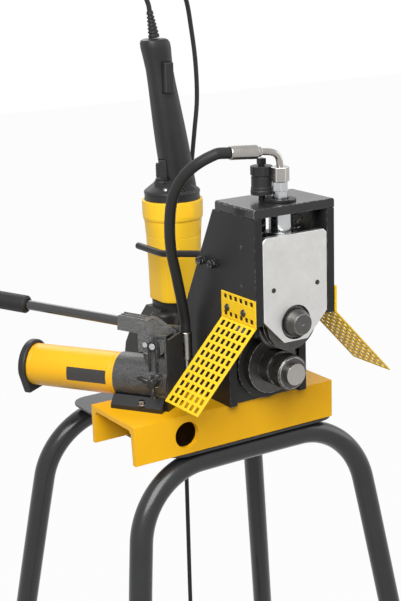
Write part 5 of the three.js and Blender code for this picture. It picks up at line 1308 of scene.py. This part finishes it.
BOLT_S, BOLT_W, FLANGE_TOP = -9, 33.5, 8.6
WASHER_RADIUS, WASHER_THICK, BOLT_HEX, BOLT_HIGH = 7, 1.4, 5.6, 4.8
VALVE_S, VALVE_Z, VALVE_LOBES, VALVE_TURN = -30, 45, 3, 99
VALVE_HUB = [(0, 33.5), (8.5, 33.5), (8.5, 35), (7, 36.4), (6.4, 42), (6.4, 47.5), (4.5, 49), (0, 49)]
VALVE_STEM, STEM_RUN, WING_RUN = 5, (19.5, 36), (43, 48.3)
WING_EDGE = [(4, 3.6), (14, 2.4), (19.5, 3.2), (21.5, 1.4)]
SEAT_INNER, SEAT_OUTER, SEAT_RUN = 5.6, 9.4, (33.25, 33.45)


def make_tank():
    centre, around = (0, 0, BARREL_Z), (0, BARREL_Z)
    profile = [(TANK_INNER, TANK_START), (TANK_OUTER, TANK_START)]
    for seam in (TANK_START + 5, CAP_FRONT - 6):
        profile += [(TANK_OUTER, seam), (TANK_OUTER - SEAM_DEPTH, seam + 0.4)]
        profile += [(TANK_OUTER - SEAM_DEPTH, seam + 1.1), (TANK_OUTER, seam + 1.5)]
    profile += [(TANK_OUTER, TANK_END), (TANK_INNER, TANK_END), (TANK_INNER, TANK_START)]
    shell = Form().spun(profile, "x", centre, 96).rounded(0.3)
    shell.moved(PUMP).piece("pump tank", TANK, replaces=["pump_tank"])
    inner = arc(around, TANK_OUTER + 0.05, *LABEL_RISE, 16)
    outer = arc(around, TANK_OUTER + 0.3, *reversed(LABEL_RISE), 16)
    label = Form().prism(inner + outer, "yz", *LABEL_RUN).rounded(0.1, 1, 60)
    label.moved(PUMP).piece("blank label", LABEL)
    outline = arc(around, CAP_RADIUS, -CAP_HIP, 180 + CAP_HIP, 40)
    outline += [(-CAP_FOOT, LIP), (CAP_FOOT, LIP)]
    cap = Form().prism(outline, "yz", CAP_FRONT, CAP_BACK).rounded(2.6, 4, 25)
    cap.cut(Form().bar("x", TANK_OUTER + LIP, CAP_FRONT - 5, TANK_END + LIP, centre, 96))
    cap.cut(Form().spun(CAP_DISH, "x", (CAP_BACK - CAP_DISH_DEPTH, 0, BARREL_Z)))
    cap.moved(PUMP).piece("pump cap", PLASTIC, replaces=["pump_cap"])


def make_pump():
    dressed("pump_block", GRIT, 1.0, 2, 40)
    make_tank()
    make_flange_bolts()
    yoke = Form().copied("pump_yoke").rounded(0.9, 2, 30)
    # The yoke and its ridges take the paler casting finish, whose lighter speckles are painted light.
    yoke.add(*make_ridges()).piece("pump yoke", YOKE_PAINTED_LIGHT, "pump_lever", ["pump_yoke"])
    make_pin("fulcrum_pin", FULCRUM_S, 28.5, 4.4, "frame")
    make_pin("piston_pin", PISTON_PIN_S, 24, 3.7, "pump_lever")
    make_ear_prongs()
    dressed("pump_piston", DARK, 0.5, 2, 40, "pump_plunger")
    make_lever()
    dressed("outlet_elbow", ZINC, 0.5, 2, 40)
    make_valve()


def make_pin(node, place, reach, head, body):
    """A pin across the pump, with a flat head at both ends."""
    pin = Form().bar("y", PIN_RADIUS, -reach, reach, (place, 0, PIN_Z), 28)
    for run in ((-reach - 1, PIN_HEAD - reach), (reach - PIN_HEAD, reach + 1)):
        pin.add(Form().bar("y", head, *run, (place, 0, PIN_Z), 36))
    pin.rounded(0.4).moved(PUMP).piece(node.replace("_", " "), CHROME, body, [node])


def make_lever():
    tilt = Matrix.Translation((0, 0, LEVER_Z)) @ Matrix.Rotation(math.radians(-LEVER_TILT), 4, "Y")
    tube = Form().bar("x", LEVER_RADIUS, *LEVER_RUN, steps=40).moved(PUMP @ tilt)
    tube.piece("lever tube", LEVER, "pump_lever", ["lever_tube"])
    grip = Form().spun(GRIP_OUTSIDE + GRIP_INSIDE, "x", steps=40).rounded(0.8)
    grip.moved(PUMP @ tilt).piece("lever grip", RUBBER, "pump_lever", ["lever_grip"])


def make_ridges():
    """Three low ridges along the top of the yoke and its socket."""
    end = (RIDGE_END, LEVER_Z + 9.9 + RIDGE_END * math.sin(math.radians(LEVER_TILT)))
    along = [end, *RIDGE_LINE]
    outline = [(s, z + RIDGE_RISE) for s, z in along] + [(s, z - 1) for s, z in reversed(along)]
    ridges = []
    for w in RIDGE_PLACES:
        ridges.append(Form().prism(outline, "xz", w - RIDGE_HALF, w + RIDGE_HALF).moved(PUMP))
    return ridges


def make_ear_prongs():
    """Two dark raised prongs down the outside of each ear, below the fulcrum pin."""
    prongs = Form()
    for side in (-1, 1):
        run = sorted((side * EAR_OUTSIDE, side * (EAR_OUTSIDE + PRONG_THICK)))
        collar = Form().ring("y", COLLAR_INNER, COLLAR_OUTER, *run, (FULCRUM_S, 0, PIN_Z), 36)
        prongs.add(collar.rounded(0.5))
        for way in (-1, 1):
            outline = [(FULCRUM_S + way * out, z) for out, z in PRONG_SHAPE]
            prongs.add(Form().prism(outline, "xz", *run).rounded(0.6))
    prongs.moved(PUMP).piece("pump ear prongs", IRON)


def make_flange_bolts():
    """The hexagon screws and washers that hold the pump's foot down on both sides."""
    seat = FLANGE_TOP + WASHER_THICK
    for side, way in (("front", 1), ("rear", -1)):
        place = (BOLT_S, way * BOLT_W, FLANGE_TOP)
        washer = Form().bar("z", WASHER_RADIUS, 0, WASHER_THICK, place, 40).rounded(0.3)
        head = Form().prism(hexagon(place[:2], BOLT_HEX, 12), "xy", seat, seat + BOLT_HIGH)
        washer.add(head.rounded(0.5, 2, 50)).moved(PUMP).piece("foot bolt " + side, DARK)


def make_valve():
    """A cast wing handle on the valve's stem, in front of a bright seat ring."""
    turn = Matrix.Translation((VALVE_S, 0, VALVE_Z))
    stem = Form().bar("y", VALVE_STEM, *STEM_RUN, steps=28)
    outline = [(out, -up) for out, up in WING_EDGE] + WING_EDGE[::-1]
    for lobe in range(VALVE_LOBES):
        angle = math.radians(VALVE_TURN + lobe * 360 / VALVE_LOBES)
        wing = Form().prism(outline, "xz", *WING_RUN).rounded(1.1, 3, 50)
        stem.add(wing.moved(Matrix.Rotation(angle, 4, "Y")))
    stem.add(Form().spun(VALVE_HUB, "y")).moved(PUMP @ turn)
    stem.piece("release valve", IRON, "release_valve", ["release_valve"])
    ring = Form().ring("y", SEAT_INNER, SEAT_OUTER, *SEAT_RUN).rounded(0.05, 1, 60)
    ring.moved(PUMP @ turn).piece("valve seat ring", CHROME)


# Drive

# The motor housing's stages: height, how square it is, and how much it stands out.
MOTOR_STAGES = [
    (96, 1, -1.6),
    (96.6, 1, -0.6),
    (97.8, 1, 0),
    (102, 1, 0),
    (113, 0.97, 0),
    (125, 0.93, 0),
    (138, 0.88, 0),
    (151, 0.82, 0),
    (161, 0.75, 0),
    (170, 0.67, 0),
    (180, 0.58, 0),
    (190, 0.48, 0),
    (193.6, 0.43, 0),
    (193.9, 0.43, -0.3),
    (194.5, 0.42, -0.3),
    (194.8, 0.42, 0),
    (205, 0.25, 0),
    (218, 0.05, 0),
    (218.4, 0.04, -0.5),
    (219.2, 0.03, -0.5),
    (219.8, 0.02, 0.6),
    (222, 0, 1.6),
    (225, 0, 2),
    (246.5, 0, 2.3),
    (248.6, 0, 1.9),
    (249, 0, 0.8),
]
MOTOR_SIDES, MOTOR_HALF, MOTOR_CORNER, MOTOR_ROUND = 96, 34.5, 22, 43.3
MOTOR_BORE, MOTOR_BORE_RUN, SHAFT_HOLE, SHAFT_HOLE_RUN = 30, (90, 236), 6, (230, 256)
COLLAR_RIBS, RIB_START, RIB_PITCH, RIB_SIZE = 12, -114, 2.9, ((44, 45.9), (-0.55, 0.55), (226.5, 246))
GEAR_TEETH, GEAR_HALF, GEAR_BORE, GEAR_HUB, GEAR_HUB_HALF = 34, 9, 14.6, 21, 17
GEAR_TOOTH = [(0.0, 31.2), (0.3, 31.2), (0.42, 33.4), (0.82, 33.4)]
ROTOR_TAIL = [(0, 88.5), (8, 88.5), (8, 99), (5, 99), (5, 112), (28, 112), (28, 118), (5, 118)]
ROTOR_CORE = [(5, 128), (25, 128), (25, 214), (5, 214), (5, 240), (0, 240)]

# The handle's stages: height and half width.
HANDLE_STAGES = [
    (254, 24.6),
    (270, 24.6),
    (284, 24.3),
    (304, 24.1),
    (330, 23.6),
    (357, 22.7),
    (396, 20.9),
    (418, 19.8),
    (440, 19.2),
    (458, 20.2),
    (472, 21.3),
    (479, 21.0),
    (483, 19),
    (485, 15.5),
]
HANDLE_SIDES, HANDLE_SQUARE, HANDLE_DEPTH = 64, 2.6, 0.9
TRIGGER_GAP, TRIGGER_BACK, TRIGGER_ROOM = 0.6, 5, 10
CAP_BASE, CAP_NECK_Z = 249.3, 279
CAP_RIMS = [(42, CAP_BASE), (42, CAP_BASE + 1.6), (41.3, CAP_BASE + 2.2), (41.3, 258.5), (42, 259.2)]
CAP_CONE = [(42, 261), (41, 262.6), (38.5, 264.6), (20, CAP_NECK_Z)]
VENTS, VENT_START, VENT_PITCH, VENT_SIZE = 7, -98, 6.5, ((23, 39), (-0.95, 0.95), (257, 290))
DIAL_SEAT = [(0, 255), (12, 255), (12, CAP_NECK_Z - 2), (10.5, CAP_NECK_Z), (0, CAP_NECK_Z)]
DIAL_ROOM, DIAL_FOOT, DIAL_FOOT_HIGH, DIAL_TURN = 10.5, 9.8, 2.6, -32.11
DIAL_BLOCK, DIAL_TAB = ((-2.6, 7.8), (-3.9, 3.9)), ((-8.2, -2), (-1.6, 1.6))
DIAL_RIB, DIAL_RIBS, DIAL_RIB_PITCH, DIAL_RIB_HIGH = ((-8.8, -6.5), (-2.1, 2.1)), 5, 3.6, 1.6
CAP_SCREW_PLACE, CAP_SCREW_RISE = (-24.8, 285.3, 267.6), 32
CAP_SCREW = [(0, 0), (3, 0), (3, 0.9), (2.2, 1.5), (0, 1.7)]

SPRING_TURNS, SPRING_STEPS, SPRING_WIRE = 6, 14, 0.9
SPRING_CLOSED = 2.1 * SPRING_WIRE


def housing_reach(angle, squared):
    """How far the motor housing reaches at an angle, between a circle and a rounded square."""
    across, along = abs(math.cos(angle)), abs(math.sin(angle))
    flat = MOTOR_HALF / max(across, along)
    core = MOTOR_HALF - MOTOR_CORNER
    if flat * min(across, along) > core:
        corner = math.sqrt(MOTOR_CORNER**2 - core**2 * (across - along) ** 2)
        flat = core * (across + along) + corner
    return MOTOR_ROUND + (flat - MOTOR_ROUND) * squared


def around_drive(degrees=0):
    """The drive unit's upright axis, turned."""
    turn = Matrix.Rotation(math.radians(degrees), 4, "Z")
    return Matrix.Translation((0, DRIVE_Y, 0)) @ turn


def make_motor():
    rings = []
    for z, squared, more in MOTOR_STAGES:
        ring = []
        for step in range(MOTOR_SIDES):
            angle = math.tau * step / MOTOR_SIDES
            reach = housing_reach(angle, squared) + more
            ring.append(Vector((reach * math.cos(angle), DRIVE_Y + reach * math.sin(angle), z)))
        rings.append(ring)
    shell = Form().lofted(rings)
    centre = (0, DRIVE_Y, 0)
    bore = Form().bar("z", MOTOR_BORE, *MOTOR_BORE_RUN, centre, 64)
    shell.cut(bore, Form().bar("z", SHAFT_HOLE, *SHAFT_HOLE_RUN, centre))
    for rib in range(COLLAR_RIBS):
        turn = around_drive(RIB_START + rib * RIB_PITCH)
        shell.add(Form().box(*RIB_SIZE).rounded(0.35).moved(turn))
    shell.piece("motor housing", MOTOR, replaces=["motor_housing"])


def make_drive():
    make_motor()
    dressed("gear_housing", IRON, 1.5, 3, 45)
    make_gear()
    rotor = Form().spun(ROTOR_TAIL + ROTOR_CORE, "z", (0, DRIVE_Y, 0), 40).rounded(0.5)
    rotor.piece("motor armature", ROTOR, "rotor", ["armature"])
    make_handle()


def make_gear():
    """The output gear on the drive shaft's six-sided tail."""
    centre, outline = (SHAFT[0], SHAFT[2]), []
    for tooth in range(GEAR_TEETH):
        for share, reach in GEAR_TOOTH:
            angle = math.tau * (tooth + share) / GEAR_TEETH
            outline.append((reach * math.cos(angle), SHAFT[2] + reach * math.sin(angle)))
    bore = [hexagon(centre, GEAR_BORE)]
    gear = Form().prism(outline, "xz", DRIVE_Y - GEAR_HALF, DRIVE_Y + GEAR_HALF, bore)
    hub = (DRIVE_Y - GEAR_HUB_HALF, DRIVE_Y + GEAR_HUB_HALF)
    gear.add(Form().prism(circle(centre, GEAR_HUB, 48), "xz", *hub, bore))
    gear.rounded(0.4, 1, 40).piece("output gear", BRONZE, "drive_line", ["output_gear"])


def squared_circle(angle):
    """A point of a circle drawn out towards its corners."""
    power = 2 / HANDLE_SQUARE
    across, along = math.cos(angle), math.sin(angle)
    return math.copysign(abs(across) ** power, across), math.copysign(abs(along) ** power, along)


def make_handle():
    rings = []
    for z, radius in HANDLE_STAGES:
        ring = []
        for step in range(HANDLE_SIDES):
            across, along = squared_circle(math.tau * step / HANDLE_SIDES)
            y = DRIVE_Y + HANDLE_DEPTH * radius * along
            ring.append(Vector((lean_at(z) + radius * across, y, z)))
        rings.append(ring)
    stick = Form().lofted(rings)
    trigger, dial = Span("trigger"), Span("direction_switch")
    pocket = Form().box(
        (trigger.low.x - TRIGGER_GAP, trigger.high.x + TRIGGER_GAP),
        (trigger.low.y - TRIGGER_BACK, trigger.high.y + TRIGGER_ROOM),
        (trigger.low.z - TRIGGER_GAP, trigger.high.z + TRIGGER_GAP),
    )
    dial_place = (dial.mid.x, dial.mid.y, 0)
    stick.cut(pocket, Form().bar("z", DIAL_ROOM, CAP_NECK_Z, dial.high.z + 0.6, dial_place))
    stick.add(make_motor_cap(dial_place)).piece("handle", PLASTIC, replaces=["handle_shell"])
    paddle = Form().box(*[(trigger.low[k], trigger.high[k]) for k in range(3)]).rounded(2.2, 4)
    paddle.piece("trigger paddle", PLASTIC, "trigger", ["trigger"])
    make_switch(dial, dial_place)
    x, y, z = CAP_SCREW_PLACE
    normal = Vector((x, y - DRIVE_Y, CAP_SCREW_RISE)).normalized()
    screw = Form().spun(CAP_SCREW, steps=28).moved(aimed(Vector((x, y, z)), normal))
    screw.piece("cap screw", ZINC)


def make_motor_cap(dial_place):
    """The low cone that closes the motor, with a rim, cooling slots and the switch's seat."""
    profile = [(0, CAP_BASE), *CAP_RIMS, *CAP_CONE, (0, CAP_NECK_Z)]
    cone = Form().spun(profile, "z", (0, DRIVE_Y, 0), 96)
    turns = [around_drive(VENT_START + vent * VENT_PITCH) for vent in range(VENTS)]
    cone.cut(*[Form().box(*VENT_SIZE).moved(turn) for turn in turns])
    return cone.add(Form().spun(DIAL_SEAT, "z", dial_place))


def make_switch(dial, place):
    """A block with a ribbed tab, on a round foot."""
    low, high = dial.low.z, dial.high.z
    foot = Form().bar("z", DIAL_FOOT, low, low + DIAL_FOOT_HIGH, steps=40).rounded(0.4)
    block = Form().box(*DIAL_BLOCK, (low + 2, high)).rounded(1.0, 3)
    tab = Form().box(*DIAL_TAB, (low + 3.5, high - 4)).rounded(0.6, 2)
    foot.add(block, tab)
    for rib in range(DIAL_RIBS):
        height = low + 6 + rib * DIAL_RIB_PITCH
        foot.add(Form().box(*DIAL_RIB, (height, height + DIAL_RIB_HIGH)).rounded(0.4))
    turn = Matrix.Translation(place) @ Matrix.Rotation(math.radians(DIAL_TURN), 4, "Z")
    foot.moved(turn).piece("direction switch", PLASTIC, "direction_switch", ["direction_switch"])


def make_springs():
    """Wound return springs with a closed turn at each end, each with a mesh of its own; they are built at
    one length.
    """
    for side in ("left", "right"):
        span = Span("return_spring_" + side)
        reach = span.size.x / 2 - SPRING_WIRE
        low, high = span.low.z + SPRING_WIRE, span.high.z - SPRING_WIRE
        climb = high - low - 2 * SPRING_CLOSED
        points = []
        for step in range((SPRING_TURNS + 2) * SPRING_STEPS + 1):
            turn = step / SPRING_STEPS
            share = min(max(turn - 1, 0), SPRING_TURNS) / SPRING_TURNS
            ends = min(turn, 1) + max(turn - SPRING_TURNS - 1, 0)
            x = span.mid.x + reach * math.cos(turn * math.tau)
            y = span.mid.y + reach * math.sin(turn * math.tau)
            points.append(Vector((x, y, low + climb * share + SPRING_CLOSED * ends)))
        spring = Form().tube(points, SPRING_WIRE, 2, 1)
        made = spring.piece("return spring " + side, SPRING, replaces=["return_spring_" + side])
        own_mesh(made)


# Light and floor

# Lamps have a place and a size in metres, and a power in watts.
AMBIENT, LAMP_AIM = 0.26, (0, 0.1, 0.8)
LAMPS = [((-1.1, -1.3, 2.3), 1.6, 72), ((1.7, -0.6, 1.5), 1.2, 9), ((0.4, 1.6, 2.2), 1.2, 12)]
FLOOR_HALF, FLOOR_THICK, FLOOR_GAP = 9000, 11, 1
FLOOR_GREY, FLOOR_WHITE = 0.3, 0.97


def make_light():
    world = bpy.data.worlds.new("studio")
    bpy.context.scene.world = world
    studio = Graph(world)
    ambient = studio.node("ShaderNodeBackground", None, {"Color": (1, 1, 1, 1), "Strength": AMBIENT})
    white = studio.node("ShaderNodeBackground", None, {"Color": (1, 1, 1, 1), "Strength": 1.0})
    studio.shone("ShaderNodeOutputWorld", studio.shown(), ambient, white)
    for number, (place, size, power) in enumerate(LAMPS, 1):
        data = bpy.data.lights.new("lamp " + str(number), "AREA")
        data.size = size
        data.energy = power
        lamp = link(data.name, data)
        way = Vector(LAMP_AIM) - Vector(place)
        lamp.matrix_world = Matrix.Translation(place) @ way.to_track_quat("-Z", "Y").to_matrix().to_4x4()


def make_floor():
    """A grey floor that the camera sees as white, with a trace of the shadows on it."""
    side, top = (-FLOOR_HALF, FLOOR_HALF), FLOOR - FLOOR_GAP
    ground = Form().box(side, side, (top - FLOOR_THICK, top))
    ground.bm.transform(TO_ROW)
    mesh = ground.mesh("floor")
    ground.bm.free()
    floor = link("floor", mesh)
    paper = Finish("floor paper", "floor")
    paper.shader.inputs["Base Color"].default_value = (FLOOR_GREY, FLOOR_GREY, FLOOR_GREY, 1)
    paper.shader.inputs["Roughness"].default_value = 1.0
    paper.tree.nodes.remove(paper.tree.nodes["Material Output"])
    lit = Wire(paper, paper.shader.outputs["BSDF"])
    white = paper.node("ShaderNodeEmission", None, {"Color": (1, 1, 1, 1), "Strength": 1.0})
    paper.shone("ShaderNodeOutputMaterial", paper.shown() * FLOOR_WHITE, lit, white)
    mesh.materials.append(paper.material)


make_camera()
make_cord()
make_hose()
make_stand()
make_channel()
make_head()
make_rollers()
make_slide()
make_springs()
make_top()
make_guards()
make_fork()
make_pump()
make_drive()
make_light()
make_floor()
